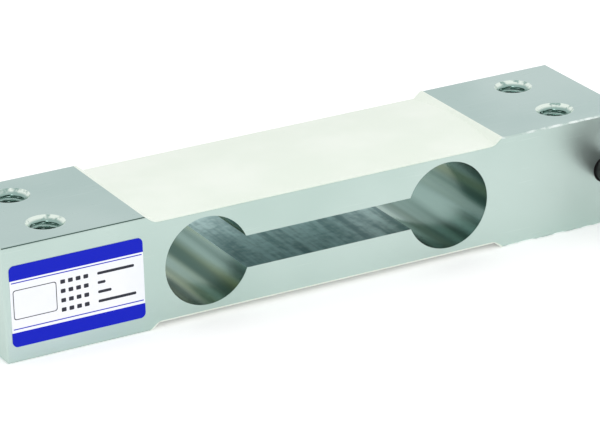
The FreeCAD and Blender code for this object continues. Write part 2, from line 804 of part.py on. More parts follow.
def core_route(root, onward, place, height, rest):
    """Half the way straight on in a row, then out sideways and down to the floor."""
    half = onward * value("Sizes.core_length") / 2
    start = root + Vector(0, place * value("Sizes.core_pitch"), height)
    knee = start + half
    end = knee + half + Vector(0, value("Sizes.core_fan") * (place + 1.5), 0)
    return [start, knee, Vector(end.x, end.y, rest)]


def build_stripped_end(start, onward):
    """The shrink sleeve over the cable's end, and the four cores and bare drain wire that leave it."""
    sleeve = doc.addObject("Part::Cylinder", "sleeve_blank")
    sleeve.setExpression("Radius", "Sizes.sleeve_diameter / 2")
    sleeve.setExpression("Height", "Sizes.sleeve_length")
    sleeve.Placement = FreeCAD.Placement(start, FreeCAD.Rotation(Vector(0, 0, 1), onward))
    doc.recompute()
    rounded = doc.addObject("Part::Chamfer", "end_sleeve")
    rounded.Label = "end_sleeve"
    rounded.Base = sleeve
    size = value("Sizes.sleeve_break")
    rims = [
        index
        for index, edge in enumerate(sleeve.Shape.Edges, start=1)
        if isinstance(edge.Curve, Part.Circle)
    ]
    rounded.Edges = [(index, size, size) for index in rims]

    root = start + onward * value("Sizes.sleeve_length")
    core, tip = value("Sizes.core_diameter"), value("Sizes.tip_length")
    tips = []
    names = ("lead_red", "lead_black", "lead_green", "lead_white")
    for name, place in zip(names, (-1.5, -0.5, 0.5, 1.5)):
        points = core_route(root, onward, place, 0, value("Sizes.core_end_height"))
        feature_of(name, wire(points, core, flats=20))
        along = (points[-1] - points[-2]).normalize()
        tinned = wire([points[-1], points[-1] + along * tip], value("Sizes.tip_diameter"))
        tips.append(feature_of(f"{name}_tip", tinned))
    group("lead_tips", tips)
    drain = value("Sizes.drain_diameter")
    feature_of("drain_wire", wire(core_route(root, onward, 0, 1.1 * core, drain / 2), drain))


# ---------------------------------------------------------------- assembly

build_beam()
covered = {"top": [], "bottom": []}
for spot, (side, _, _) in GAUGES.items():
    build_film(f"gauge_film_{spot}", spot, "Sizes.film_thickness")
    build_grid(spot)
    build_ribbons(spot)
    covered[side].append(build_film(f"gauge_space_{spot}", spot, GAUGE_TOP))
for side in FLOORS:
    covered[side] += [build_board(side), build_pads(side)]
covered["top"].append(build_chips())
build_inner_leads()
doc.recompute()
for spot, (side, _, _) in GAUGES.items():
    covered[side].append(doc.getObject(f"gauge_ribbons_{spot}"))
covered["top"] += [doc.getObject(name) for name in LEAD_NAMES]
covered["bottom"].append(doc.getObject("link_leads"))
for side in FLOORS:
    build_seal(side, covered[side])
build_label()
jacket, entry = "Sizes.cable_diameter", ENTRY_DIAMETER
turned_ring("cable_seal", jacket, entry, f"-{HALF_WIDTH}", "Sizes.cable_grip")
turned_ring("splice_sleeve", None, "Sizes.splice_diameter", JACKET_END, "Sizes.splice_length")
build_stripped_end(*build_cable())
doc.recompute()

NODES = (
    ["beam", "top_seal", "bottom_seal", "rating_label"]
    + [f"gauge_{piece}_{spot}" for piece in ("film", "grid", "ribbons") for spot in GAUGES]
    + ["circuit_board", "terminal_board", "solder_pads_top", "solder_pads_bottom", "trim_resistors"]
    + [*LEAD_NAMES, "link_leads", "cable_seal", "splice_sleeve"]
    + ["signal_cable", "cable_coil", "end_sleeve"]
    + ["lead_red", "lead_black", "lead_green", "lead_white", "drain_wire", "lead_tips"]
)

failed = [item.Label for item in doc.Objects if {"Invalid", "Error"} & set(item.State)]
if failed:
    raise RuntimeError(f"these objects failed: {failed}")
pieces = {label: doc.getObjectsByLabel(label)[0] for label in NODES}
for label, piece in pieces.items():
    if piece.Shape.isNull() or not piece.Shape.isValid() or not piece.Shape.Solids:
        raise RuntimeError(f"{label} has no valid solid")

os.makedirs("parts", exist_ok=True)
for label, piece in pieces.items():
    piece.Shape.exportStep(f"parts/{label}.step")
    print(label, len(piece.Shape.Solids), round(piece.Shape.Volume, 3))
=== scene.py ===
"""Looks of a single point load cell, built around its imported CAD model.

The CAD model is a fixed frame in metres: X along the beam to its cable end, Y to the back, Z up,
with the origin at the centre of the beam's underside. This script adds threads, label print,
cable, wires, finishes, light and a camera, and never moves a CAD part.
"""

from __future__ import annotations

import json
import logging
import math
from collections.abc import Iterable, Sequence
from dataclasses import dataclass, field
from enum import Enum
from typing import Any

import bmesh
import bpy
from mathutils import Matrix, Vector

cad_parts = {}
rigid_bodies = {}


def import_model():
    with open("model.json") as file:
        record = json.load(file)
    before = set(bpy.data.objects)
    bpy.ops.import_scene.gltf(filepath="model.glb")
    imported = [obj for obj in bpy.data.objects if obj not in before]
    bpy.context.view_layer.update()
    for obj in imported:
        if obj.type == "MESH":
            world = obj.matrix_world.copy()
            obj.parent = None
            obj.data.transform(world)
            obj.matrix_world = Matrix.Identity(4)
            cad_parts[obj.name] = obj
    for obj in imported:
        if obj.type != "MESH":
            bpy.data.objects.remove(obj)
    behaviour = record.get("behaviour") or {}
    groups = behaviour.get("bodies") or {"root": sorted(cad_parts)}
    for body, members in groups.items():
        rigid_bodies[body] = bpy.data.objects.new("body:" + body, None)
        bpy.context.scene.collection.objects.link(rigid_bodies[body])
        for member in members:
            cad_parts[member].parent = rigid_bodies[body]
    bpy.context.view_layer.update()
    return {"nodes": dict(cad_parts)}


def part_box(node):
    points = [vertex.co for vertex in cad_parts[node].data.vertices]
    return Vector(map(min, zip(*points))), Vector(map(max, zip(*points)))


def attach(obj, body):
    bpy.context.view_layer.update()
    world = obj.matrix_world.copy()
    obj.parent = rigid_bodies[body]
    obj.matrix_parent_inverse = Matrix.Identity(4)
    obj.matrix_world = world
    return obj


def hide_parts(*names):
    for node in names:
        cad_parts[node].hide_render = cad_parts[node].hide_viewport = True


LOG = logging.getLogger("load_cell")
MM = 0.001
BODY = "root"
WELD = 0.002 * MM

Colour = tuple[float, float, float]
Socket = bpy.types.NodeSocket


def linear(red: int, green: int, blue: int) -> Colour:
    """Turns a screen colour into the linear one that shaders take.

    Args:
        red: Red from 0 to 255.
        green: Green from 0 to 255.
        blue: Blue from 0 to 255.

    Returns:
        The linear colour, each channel from 0 to 1.
    """

    def channel(level: int) -> float:
        """One channel, by the screen's own curve."""
        share = level / 255
        return share / 12.92 if share <= 0.04045 else ((share + 0.055) / 1.055) ** 2.4

    return channel(red), channel(green), channel(blue)


class Tint(Enum):
    """Base colours of the object's surfaces."""

    SATIN_METAL = linear(183, 203, 196)
    # Painted shade: the flats above and below, darker than the sides.
    GROUND_METAL = linear(166, 189, 185)
    # Used for random drift and scratches, and as a painted highlight on the edges at the cable's end.
    BRIGHT_METAL = linear(238, 247, 244)
    SHADED_EDGE = linear(72, 94, 88)
    # Painted highlight on the rims of the countersinks.
    RIM_METAL = linear(226, 238, 229)
    # Painted reflection: the dark streaks in the cross bores.
    BORE_DARK = linear(70, 98, 90)
    BORE_LIGHT = linear(144, 171, 164)
    BORE_OLIVE = linear(138, 147, 88)
    # Painted shade deep in the tapped holes.
    HOLE_DEEP = linear(96, 112, 104)
    SLOT_DARK = linear(108, 143, 143)
    SLOT_LIGHT = linear(172, 202, 200)
    SEAL = linear(240, 247, 237)
    SEAL_SHADE = linear(233, 242, 230)
    LABEL = linear(250, 251, 254)
    LABEL_SHADE = linear(244, 247, 252)
    PRINT = linear(0, 23, 192)
    INK = linear(48, 50, 60)
    JACKET = linear(9, 9, 10)
    POTTING = linear(38, 38, 40)
    SLEEVE = linear(13, 13, 14)
    RED = linear(172, 20, 18)
    BLACK = linear(22, 22, 24)
    GREEN = linear(18, 116, 50)
    WHITE = linear(224, 224, 218)
    TINNED = linear(198, 196, 190)
    FILM = linear(188, 114, 36)
    FOIL = linear(206, 178, 150)
    COPPER = linear(206, 124, 84)
    BOARD = linear(24, 96, 48)
    BOARD_WEAVE = linear(52, 130, 70)
    RESISTOR = linear(30, 30, 34)
    ENAMEL = linear(150, 70, 28)
    FLOOR = linear(252, 252, 252)


class Slot(Enum):
    """Names of the record's material slots for the new pieces."""

    METAL = "aluminium"
    JACKET = "cable_jacket"
    RED = "wire_red"
    BLACK = "wire_black"
    GREEN = "wire_green"
    WHITE = "wire_white"
    TINNED = "tinned_wire"


# ---------------------------------------------------------------- node trees


class Mix(Enum):
    """What a mix node mixes: its data type, the places of its inputs and the place of its result."""

    COLOURS = ("RGBA", (0, 6, 7), 2)
    NUMBERS = ("FLOAT", (0, 2, 3), 0)


class Tree:
    """Short calls for building a shader or geometry node tree."""

    def __init__(self, tree: bpy.types.NodeTree) -> None:
        """Takes the tree that the nodes go into."""
        self.tree = tree

    def node(self, kind: str, settings: dict[str, Any] | None = None, **inputs: Any) -> bpy.types.Node:
        """Adds a node.

        Args:
            kind: The node's type name.
            settings: Properties of the node itself.
            **inputs: Values or sockets for its inputs; an underscore stands for a space.

        Returns:
            The new node.
        """
        made = self.tree.nodes.new(kind)
        made.location = (180 * len(self.tree.nodes), 0)
        for name, value in (settings or {}).items():
            setattr(made, name, value)
        for name, value in inputs.items():
            self.feed(made.inputs[name.replace("_", " ")], value)
        return made

    def feed(self, socket: Socket, value: Any) -> None:
        """Links a socket to another or gives it a value.

        Args:
            socket: The input that is fed.
            value: A socket, a tint or a plain value.
        """
        if isinstance(value, bpy.types.NodeSocket):
            self.tree.links.new(value, socket)
        elif isinstance(value, Tint):
            socket.default_value = (*value.value, 1)
        else:
            socket.default_value = value

    def fill(self, node: bpy.types.Node, values: Iterable[Any]) -> Socket:
        """Feeds a node's inputs in their order.

        Args:
            node: The node.
            values: Values or sockets for its first inputs.

        Returns:
            The node's first result.
        """
        for socket, value in zip(node.inputs, values):
            self.feed(socket, value)
        return node.outputs[0]

    def math(self, operation: str, *values: Any, clamp: bool = False) -> Socket:
        """Result of a math node on some numbers."""
        return self.fill(self.node("ShaderNodeMath", {"operation": operation, "use_clamp": clamp}), values)

    def split(self, vector: Socket) -> tuple[Socket, ...]:
        """X, Y and Z of a vector."""
        return tuple(self.node("ShaderNodeSeparateXYZ", Vector=vector).outputs)

    def join(self, across: Any, back: Any, up: Any) -> Socket:
        """A vector from X, Y and Z."""
        return self.fill(self.node("ShaderNodeCombineXYZ"), (across, back, up))

    def ramp(self, value: Any, low: Any, high: Any) -> Socket:
        """Nought below low, one above high and a soft step between them."""
        made = self.node("ShaderNodeMapRange", {"interpolation_type": "SMOOTHSTEP"})
        return self.fill(made, (value, low, high))

    def mixed(self, kind: Mix, share: Any, first: Any, second: Any) -> Socket:
        """Mixes two values of one type.

        Args:
            kind: What is mixed.
            share: Share of the second value.
            first: The value at nought.
            second: The value at one.

        Returns:
            The mixed value.
        """
        data_type, places, result = kind.value
        made = self.node("ShaderNodeMix", {"data_type": data_type})
        for place, value in zip(places, (share, first, second)):
            self.feed(made.inputs[place], value)
        return made.outputs[result]

    def mix(self, share: Any, first: Any, second: Any) -> Socket:
        """Mixes two colours."""
        return self.mixed(Mix.COLOURS, share, first, second)

    def blend(self, share: Any, first: Any, second: Any) -> Socket:
        """Mixes two numbers."""
        return self.mixed(Mix.NUMBERS, share, first, second)

    def within(self, value: Any, reach: float) -> Socket:
        """One where a number's size is under reach, else nought."""
        return self.math("LESS_THAN", self.math("ABSOLUTE", value), reach)

    def both(self, first: Any, second: Any) -> Socket:
        """One where two masks are both one."""
        return self.math("MULTIPLY", first, second)

    def length(self, first: Any, second: Any) -> Socket:
        """Length of a vector with two parts."""
        squares = [self.math("MULTIPLY", part, part) for part in (first, second)]
        return self.math("SQRT", self.math("ADD", *squares))


class Kind(Enum):
    """Socket types of node groups."""

    NUMBER = "NodeSocketFloat"
    COUNT = "NodeSocketInt"
    VECTOR = "NodeSocketVector"
    SHAPE = "NodeSocketGeometry"
    MATERIAL = "NodeSocketMaterial"


@dataclass
class Group:
    """A node group under construction: its tree, its inputs and its outputs.

    Attributes:
        name: The group's name.
        inputs: Kind and default by name.
        outputs: Kind by name.
        family: Type of node tree.
        data: The group itself.
        tree: Short calls for its tree.
        start: The node that gives its inputs.
        end: The node that takes its outputs.
    """

    name: str
    inputs: dict[str, tuple[Kind, Any]]
    outputs: dict[str, Kind]
    family: str = "ShaderNodeTree"
    data: bpy.types.NodeTree = field(init=False)
    tree: Tree = field(init=False)
    start: bpy.types.Node = field(init=False)
    end: bpy.types.Node = field(init=False)

    def __post_init__(self) -> None:
        """Makes the group and its sockets."""
        self.data = bpy.data.node_groups.new(self.name, self.family)
        for label, (kind, default) in self.inputs.items():
            socket = self.data.interface.new_socket(name=label, in_out="INPUT", socket_type=kind.value)
            if default is not None:
                socket.default_value = default
        for label, kind in self.outputs.items():
            self.data.interface.new_socket(name=label, in_out="OUTPUT", socket_type=kind.value)
        self.tree = Tree(self.data)
        self.start = self.data.nodes.new("NodeGroupInput")
        self.end = self.data.nodes.new("NodeGroupOutput")

    def get(self, label: str) -> Socket:
        """One of the group's inputs."""
        return self.start.outputs[label]

    def give(self, label: str, value: Any) -> None:
        """Sets one of the group's outputs."""
        self.tree.feed(self.end.inputs[label], value)


@dataclass
class Effects:
    """Shader groups that several finishes share, each built once.

    Attributes:
        grain: Tool marks.
        skin: Moulded or cast skin.
        patch: A printed patch.
        edges: Mask along long edges for a painted highlight and a painted shade.
    """

    grain: bpy.types.NodeTree = field(init=False)
    skin: bpy.types.NodeTree = field(init=False)
    patch: bpy.types.NodeTree = field(init=False)
    edges: bpy.types.NodeTree = field(init=False)

    def __post_init__(self) -> None:
        """Builds the groups."""
        self.grain = self.build_grain()
        self.skin = self.build_skin()
        self.patch = self.build_patch()
        self.edges = self.build_edges()

    @staticmethod
    def build_grain() -> bpy.types.NodeTree:
        """Tool marks that run along one direction: fine lines, broad streaks and a few scratches.

        Returns:
            The shader group.
        """
        number = Kind.NUMBER
        group = Group(
            "tool_marks",
            {
                "Place": (Kind.VECTOR, None),
                "Turn": (Kind.VECTOR, (0.0, 0.0, 0.0)),
                "Stretch": (number, 40.0),
                "Density": (number, 900.0),
            },
            {"Fine": number, "Broad": number, "Scratches": number},
        )
        tree = group.tree
        turned = tree.node("ShaderNodeVectorRotate", {"rotation_type": "EULER_XYZ"})
        tree.feed(turned.inputs["Vector"], group.get("Place"))
        tree.feed(turned.inputs["Rotation"], group.get("Turn"))
        across, back, up = tree.split(turned.outputs[0])
        drawn = tree.join(tree.math("DIVIDE", across, group.get("Stretch")), back, up)
        # Each output's share of the density, and its noise detail.
        patterns = {"Fine": (1.0, 3.0), "Broad": (0.16, 2.0), "Scratches": (0.5, 1.0)}
        for label, (factor, detail) in patterns.items():
            noise = tree.node("ShaderNodeTexNoise", Vector=drawn, Detail=detail)
            tree.feed(noise.inputs["Scale"], tree.math("MULTIPLY", group.get("Density"), factor))
            value = noise.outputs[0]
            if label == "Scratches":
                value = tree.ramp(value, 0.68, 0.74)
            group.give(label, value)
        return group.data

    @staticmethod
    def build_skin() -> bpy.types.NodeTree:
        """Moulded or cast skin: a slow drift of colour and a fine relief.

        Returns:
            The shader group.
        """
        number = Kind.NUMBER
        group = Group(
            "fine_skin",
            {"Place": (Kind.VECTOR, None), "Drift Scale": (number, 120.0), "Relief Scale": (number, 1600.0)},
            {"Drift": number, "Gloss": number, "Relief": number},
        )
        tree = group.tree
        for label, scale, detail in (("Drift", "Drift Scale", 3.0), ("Relief", "Relief Scale", 2.0)):
            noise = tree.node("ShaderNodeTexNoise", Vector=group.get("Place"), Detail=detail)
            tree.feed(noise.inputs["Scale"], group.get(scale))
            group.give(label, tree.ramp(noise.outputs[0], 0.3, 0.7) if label == "Drift" else noise.outputs[0])
        gloss = tree.node("ShaderNodeTexNoise", Vector=group.get("Place"), Detail=3.0)
        tree.feed(gloss.inputs["Scale"], tree.math("MULTIPLY", group.get("Drift Scale"), 3.4))
        group.give("Gloss", gloss.outputs[0])
        return group.data

    @staticmethod
    def build_patch() -> bpy.types.NodeTree:
        """Share inside a rounded rectangle on the XZ plane, with crisp edges.

        Returns:
            The shader group.
        """
        number = Kind.NUMBER
        sides = {label: (number, 0.0) for label in ("Left", "Right", "Low", "High", "Corner")}
        group = Group("printed_patch", {"Place": (Kind.VECTOR, None), **sides}, {"Inside": number})
        tree = group.tree
        across, _, up = tree.split(group.get("Place"))
        reaches = []
        for place, low, high in ((across, "Left", "Right"), (up, "Low", "High")):
            middle = tree.math("MULTIPLY", tree.math("ADD", group.get(low), group.get(high)), 0.5)
            half = tree.math("MULTIPLY", tree.math("SUBTRACT", group.get(high), group.get(low)), 0.5)
            offset = tree.math("ABSOLUTE", tree.math("SUBTRACT", place, middle))
            inner = tree.math("SUBTRACT", half, group.get("Corner"))
            reaches.append(tree.math("MAXIMUM", tree.math("SUBTRACT", offset, inner), 0.0))
        depth = tree.math("SUBTRACT", group.get("Corner"), tree.length(*reaches))
        group.give("Inside", tree.ramp(depth, -0.04 * MM, -0.001 * MM))
        return group.data

    @staticmethod
    def build_edges() -> bpy.types.NodeTree:
        """Share near the long edges of a box centred on the X axis at some height, roughened by noise; a
        painted highlight and a painted shade go there.

        Returns:
            The shader group.
        """
        number = Kind.NUMBER
        group = Group(
            "edge_shine",
            {
                "Place": (Kind.VECTOR, None),
                "Half Width": (number, 0.015),
                "Half Height": (number, 0.011),
                "Reach": (number, 0.0003),
            },
            {"Edge": number},
        )
        tree = group.tree
        _, back, up = tree.split(group.get("Place"))
        rise = tree.math("SUBTRACT", up, group.get("Half Height"))
        gaps = [
            tree.math("SUBTRACT", group.get(half), tree.math("ABSOLUTE", place))
            for half, place in (("Half Width", back), ("Half Height", rise))
        ]
        # The reach swells and shrinks along the edge, so that the painted highlight and painted shade vary in
        # width.
        noise = tree.node("ShaderNodeTexNoise", Vector=group.get("Place"), Scale=420.0, Detail=2.0)
        reach = tree.math("MULTIPLY", group.get("Reach"), tree.math("ADD", noise.outputs[0], 0.62))
        total = tree.math("ADD", *gaps)
        outside = tree.ramp(total, tree.math("MULTIPLY", reach, 0.8), reach)
        group.give("Edge", tree.math("SUBTRACT", 1.0, outside))
        return group.data


@dataclass
class Surface:
    """One material under construction: its tree, its shader and the place that its patterns follow.

    Attributes:
        name: The material's name.
        tint: Its base colour.
        roughness: Its roughness before patterns.
        metallic: One for bare metal, else nought.
        material: The material itself.
        tree: Short calls for its tree.
        shader: Its shader.
        place: Coordinates on the object.
    """

    name: str
    tint: Tint
    roughness: float = 0.5
    metallic: float = 0.0
    material: bpy.types.Material = field(init=False)
    tree: Tree = field(init=False)
    shader: bpy.types.Node = field(init=False)
    place: Socket = field(init=False)

    def __post_init__(self) -> None:
        """Makes the material with its plain values."""
        self.material = bpy.data.materials.new(self.name)
        self.material.use_nodes = True
        self.material.diffuse_color = (*self.tint.value, 1)
        nodes = self.material.node_tree
        self.shader = nodes.nodes["Principled BSDF"]
        self.tree = Tree(nodes)
        self.place = self.tree.node("ShaderNodeTexCoord").outputs["Object"]
        self.set("Base Color", self.tint)
        self.set("Roughness", self.roughness)
        self.set("Metallic", self.metallic)

    def set(self, name: str, value: Any) -> None:
        """Gives one of the shader's inputs a value or a link."""
        self.tree.feed(self.shader.inputs[name], value)

    def noise(self, scale: float, detail: float = 3.0) -> Socket:
        """Noise over the object, as a number around a half."""
        return self.tree.node("ShaderNodeTexNoise", Vector=self.place, Scale=scale, Detail=detail).outputs[0]

    def bump(self, height: Socket, distance: float, strength: float = 1.0) -> None:
        """Adds relief from a height pattern, over any relief that is there.

        Args:
            height: The pattern.
            distance: Height of the relief, in metres.
            strength: Share of it that shows.
        """
        made = self.tree.node("ShaderNodeBump", Height=height, Distance=distance, Strength=strength)
        normal = self.shader.inputs["Normal"]
        if normal.is_linked:
            self.tree.feed(made.inputs["Normal"], normal.links[0].from_socket)
        self.set("Normal", made.outputs[0])

    def effect(self, group: bpy.types.NodeTree, **inputs: Any) -> bpy.types.Node:
        """Adds a shared effect that follows this surface's place."""
        return self.tree.node("ShaderNodeGroup", {"node_tree": group}, Place=self.place, **inputs)


# ---------------------------------------------------------------- finishes


@dataclass(frozen=True)
class Marks:
    """One family of tool marks.

    Attributes:
        stretch: How many times longer than wide they are.
        density: Marks per metre across them.
        turn: Degrees from the X axis to the direction that they run in.
    """

    stretch: float
    density: float
    turn: float = 0.0

    def on(self, look: Surface, effects: Effects) -> bpy.types.Node:
        """Lays the marks on a surface."""
        turn = (0.0, 0.0, math.radians(self.turn))
        return look.effect(effects.grain, Turn=turn, Stretch=self.stretch, Density=self.density)


@dataclass(frozen=True)
class Zones:
    """Masks that tell the beam's faces apart, and the depth below its flats.

    Attributes:
        flat: One on the flats above and below, where painted shade goes.
        bore: One on the walls of the cross bores.
        slot: One on the walls of the slot.
        hole: One on the walls and countersinks of the tapped holes.
        shade: One along the shaded edges at the label's end.
        shine: One along the edges at the cable's end, where a highlight is painted.
        depth: Distance from the nearer flat.
    """

    flat: Socket
    bore: Socket
    slot: Socket
    hole: Socket
    shade: Socket
    shine: Socket
    depth: Socket


@dataclass(frozen=True)
class MachinedMetal:
    """Machined aluminium of the beam: ground outside, drawn in the bores, milled in the slot.

    Attributes:
        half_width: Half the beam's width.
        half_height: Half its height.
        bore_x: Place of each cross bore from the middle.
        bore_radius: Radius of the cross bores.
        slot_half: Half the height of the slot.
        mount_x: Place of each row of tapped holes from the middle.
        mount_y: Place of each tapped hole from the centre line.
        hole_radius: Radius inside which a tapped hole's wall lies.
        margin: How far masks reach past a wall.
        slot_reach: How far the slot's mask reaches into a bore.
        shade_reach: Width of the shaded edges.
        brink_depth: Depth below the upper flat at the middle of a shaded edge.
        brink_half: Half the height of a shaded edge.
        rim_depth: Depth at which the painted highlight on a countersink's rim starts to fade.
        mouth_depth: Depth at which that painted highlight has faded.
        dark_depth: Depth at which the painted shade in a tapped hole is deepest.
        ground: Marks on the outer faces.
        drawn: Marks along the bores.
        milled: Marks across the slot.
        tarnish: Broad blotches along the bores.
    """

    half_width: float
    half_height: float
    bore_x: float
    bore_radius: float
    slot_half: float
    mount_x: float
    mount_y: float
    hole_radius: float
    margin: float = 0.05 * MM
    slot_reach: float = 0.9 * MM
    shade_reach: float = 0.42 * MM
    brink_depth: float = 0.1 * MM
    brink_half: float = 0.08 * MM
    rim_depth: float = 0.35 * MM
    mouth_depth: float = 0.8 * MM
    dark_depth: float = 6 * MM
    ground: Marks = Marks(stretch=30.0, density=5200.0)
    drawn: Marks = Marks(stretch=30.0, density=1300.0, turn=90.0)
    milled: Marks = Marks(stretch=12.0, density=2800.0, turn=90.0)
    tarnish: Marks = Marks(stretch=14.0, density=760.0, turn=90.0)

    def zones(self, look: Surface, effects: Effects) -> Zones:
        """Tells the beam's faces apart.

        Args:
            look: The material under construction.
            effects: The shared shader groups.

        Returns:
            The masks.
        """
        tree = look.tree
        across, back, up = tree.split(look.place)
        rise = tree.math("SUBTRACT", up, self.half_height)
        from_middle, from_row, from_web = (tree.math("ABSOLUTE", part) for part in (across, back, rise))
        indoors = tree.within(back, self.half_width - self.margin)
        to_bore = tree.length(tree.math("SUBTRACT", from_middle, self.bore_x), rise)
        near_slot = tree.both(
            tree.within(rise, self.slot_half + self.margin),
            tree.within(across, self.bore_x - self.bore_radius + self.slot_reach),
        )
        to_hole = tree.length(
            tree.math("SUBTRACT", from_middle, self.mount_x),
            tree.math("SUBTRACT", from_row, self.mount_y),
        )
        sides = {"Half_Width": self.half_width, "Half_Height": self.half_height}
        # Masks for the painted highlight at the cable's end and the painted shade at the label's end.
        bright = look.effect(effects.edges, **sides).outputs[0]
        dark = look.effect(effects.edges, Reach=self.shade_reach, **sides).outputs[0]
        at_cable = tree.math("GREATER_THAN", across, 0.0)
        at_label = tree.math("SUBTRACT", 1.0, at_cable)
        brink = tree.within(tree.math("SUBTRACT", rise, self.half_height - self.brink_depth), self.brink_half)
        return Zones(
            flat=tree.math("GREATER_THAN", from_web, self.half_height - self.margin),
            bore=tree.both(tree.math("LESS_THAN", to_bore, self.bore_radius + self.margin), indoors),
            slot=tree.both(near_slot, indoors),
            hole=tree.math("LESS_THAN", to_hole, self.hole_radius),
            shade=tree.both(tree.both(dark, brink), at_label),
            shine=tree.both(bright, at_cable),
            depth=tree.math("SUBTRACT", self.half_height, from_web),
        )

    def outside_colour(self, tree: Tree, zones: Zones, ground: bpy.types.Node, drift: Socket) -> Socket:
        """Colour of the outer faces: painted shade on the flats above and below, a painted highlight along
        the edges at the cable's end and painted shade along those at the label's end.

        Args:
            tree: The material's tree.
            zones: The masks.
            ground: The grinding marks.
            drift: A slow pattern over the faces.

        Returns:
            The colour.
        """
        # Painted shade: the flats above and below are darker than the sides.
        colour = tree.mix(zones.flat, Tint.SATIN_METAL, Tint.GROUND_METAL)
        for pattern, share in ((drift, 0.14), (ground.outputs["Scratches"], 0.1)):
            colour = tree.mix(tree.math("MULTIPLY", pattern, share), colour, Tint.BRIGHT_METAL)
        # Painted highlight on the edges at the cable's end; painted shade on those at the label's end.
        colour = tree.mix(zones.shine, colour, Tint.BRIGHT_METAL)
        return tree.mix(zones.shade, colour, Tint.SHADED_EDGE)

    def bore_colour(self, tree: Tree, drawn: bpy.types.Node, tarnish: bpy.types.Node) -> Socket:
        """Colour of the cross bores: dark and pale streaks of painted reflection, with some tarnish on the
        pale ones.

        Args:
            tree: The material's tree.
            drawn: The drawing marks.
            tarnish: The blotches.

        Returns:
            The colour.
        """
        olive = tree.math("MULTIPLY", tree.ramp(tarnish.outputs["Broad"], 0.46, 0.66), 0.7)
        pale = tree.mix(olive, Tint.BORE_LIGHT, Tint.BORE_OLIVE)
        # Painted reflection: the broad drawing marks steer dark and pale streaks along the bores.
        return tree.mix(tree.ramp(drawn.outputs["Broad"], 0.34, 0.66), Tint.BORE_DARK, pale)

    def slot_colour(self, look: Surface, milled: bpy.types.Node) -> Socket:
        """Colour of the slot: mottled bands with a few scratches.

        Args:
            look: The material under construction.
            milled: The milling marks.

        Returns:
            The colour.
        """
        tree = look.tree
        bands = tree.math("MULTIPLY", milled.outputs["Broad"], 0.7)
        mottle = tree.math("MULTIPLY_ADD", look.noise(700.0), 0.3, bands)
        colour = tree.mix(tree.ramp(mottle, 0.36, 0.64), Tint.SLOT_DARK, Tint.SLOT_LIGHT)
        return tree.mix(tree.math("MULTIPLY", milled.outputs["Scratches"], 0.3), colour, Tint.BORE_LIGHT)

    def hole_colour(self, look: Surface, depth: Socket) -> Socket:
        """Colour of the tapped holes: a blotched painted highlight on the rim, and painted shade further in.

        Args:
            look: The material under construction.
            depth: Distance from the nearer flat.

        Returns:
            The colour.
        """
        tree = look.tree
        blotches = tree.ramp(look.noise(760.0, detail=2.0), 0.46, 0.68)
        # Painted highlight on the countersink's rim, with random blotches.
        rim = tree.mix(blotches, Tint.RIM_METAL, Tint.BORE_LIGHT)
        mouth = tree.mix(tree.ramp(depth, self.rim_depth, self.mouth_depth), rim, Tint.BORE_LIGHT)
        # Painted shade deepening further into the hole.
        return tree.mix(tree.ramp(depth, self.mouth_depth, self.dark_depth), mouth, Tint.HOLE_DEEP)

    def make(self, effects: Effects) -> bpy.types.Material:
        """Builds the material.

        Args:
            effects: The shared shader groups.

        Returns:
            The material.
        """
        look = Surface("machined_aluminium", Tint.SATIN_METAL, roughness=0.34, metallic=1.0)
        tree = look.tree
        zones = self.zones(look, effects)
        marks = (self.ground, self.drawn, self.milled, self.tarnish)
        ground, drawn, milled, tarnish = (family.on(look, effects) for family in marks)
        drift = tree.ramp(look.noise(34.0, detail=2.0), 0.32, 0.68)

        colour = self.outside_colour(tree, zones, ground, drift)
        colour = tree.mix(zones.bore, colour, self.bore_colour(tree, drawn, tarnish))
        colour = tree.mix(zones.slot, colour, self.slot_colour(look, milled))
        look.set("Base Color", tree.mix(zones.hole, colour, self.hole_colour(look, zones.depth)))

        gloss = tree.blend(ground.outputs["Fine"], 0.26, 0.31)
        gloss = tree.blend(zones.shine, gloss, 0.2)
        gloss = tree.blend(zones.bore, gloss, tree.blend(drawn.outputs["Fine"], 0.12, 0.28))
        gloss = tree.blend(zones.slot, gloss, tree.blend(milled.outputs["Fine"], 0.26, 0.48))
        look.set("Roughness", tree.blend(zones.hole, gloss, 0.22))

        relief = tree.math("MULTIPLY", ground.outputs["Fine"], 0.3)
        relief = tree.blend(zones.bore, relief, drawn.outputs["Fine"])
        relief = tree.blend(zones.slot, relief, milled.outputs["Fine"])
        look.bump(relief, 0.003 * MM, 0.2)
        look.bump(drift, 0.02 * MM, 0.2)
        return look.material


@dataclass(frozen=True)
class LevelledSeal:
    """White compound that levelled itself: nearly flat, with a faint skin and a few specks.

    Attributes:
        drift: Scale of its slow drift of colour.
        relief: Scale of its skin.
        specks: Scale of its matt specks.
        gloss: Its roughness between the specks and on them.
    """

    drift: float = 60.0
    relief: float = 260.0
    specks: float = 1400.0
    gloss: tuple[float, float] = (0.48, 0.75)

    def make(self, effects: Effects) -> bpy.types.Material:
        """Builds the material.

        Args:
            effects: The shared shader groups.

        Returns:
            The material.
        """
        look = Surface("white_seal", Tint.SEAL, roughness=0.5)
        tree = look.tree
        skin = look.effect(effects.skin, Drift_Scale=self.drift, Relief_Scale=self.relief)
        specks = tree.ramp(look.noise(self.specks, detail=1.0), 0.70, 0.76)
        look.set("Base Color", tree.mix(skin.outputs["Drift"], Tint.SEAL_SHADE, Tint.SEAL))
        look.set("Roughness", tree.blend(specks, *self.gloss))
        look.bump(skin.outputs["Relief"], 0.03 * MM, 0.25)
        look.set("Subsurface Weight", 0.05)
        look.set("Subsurface Radius", (MM, MM, MM))
        return look.material


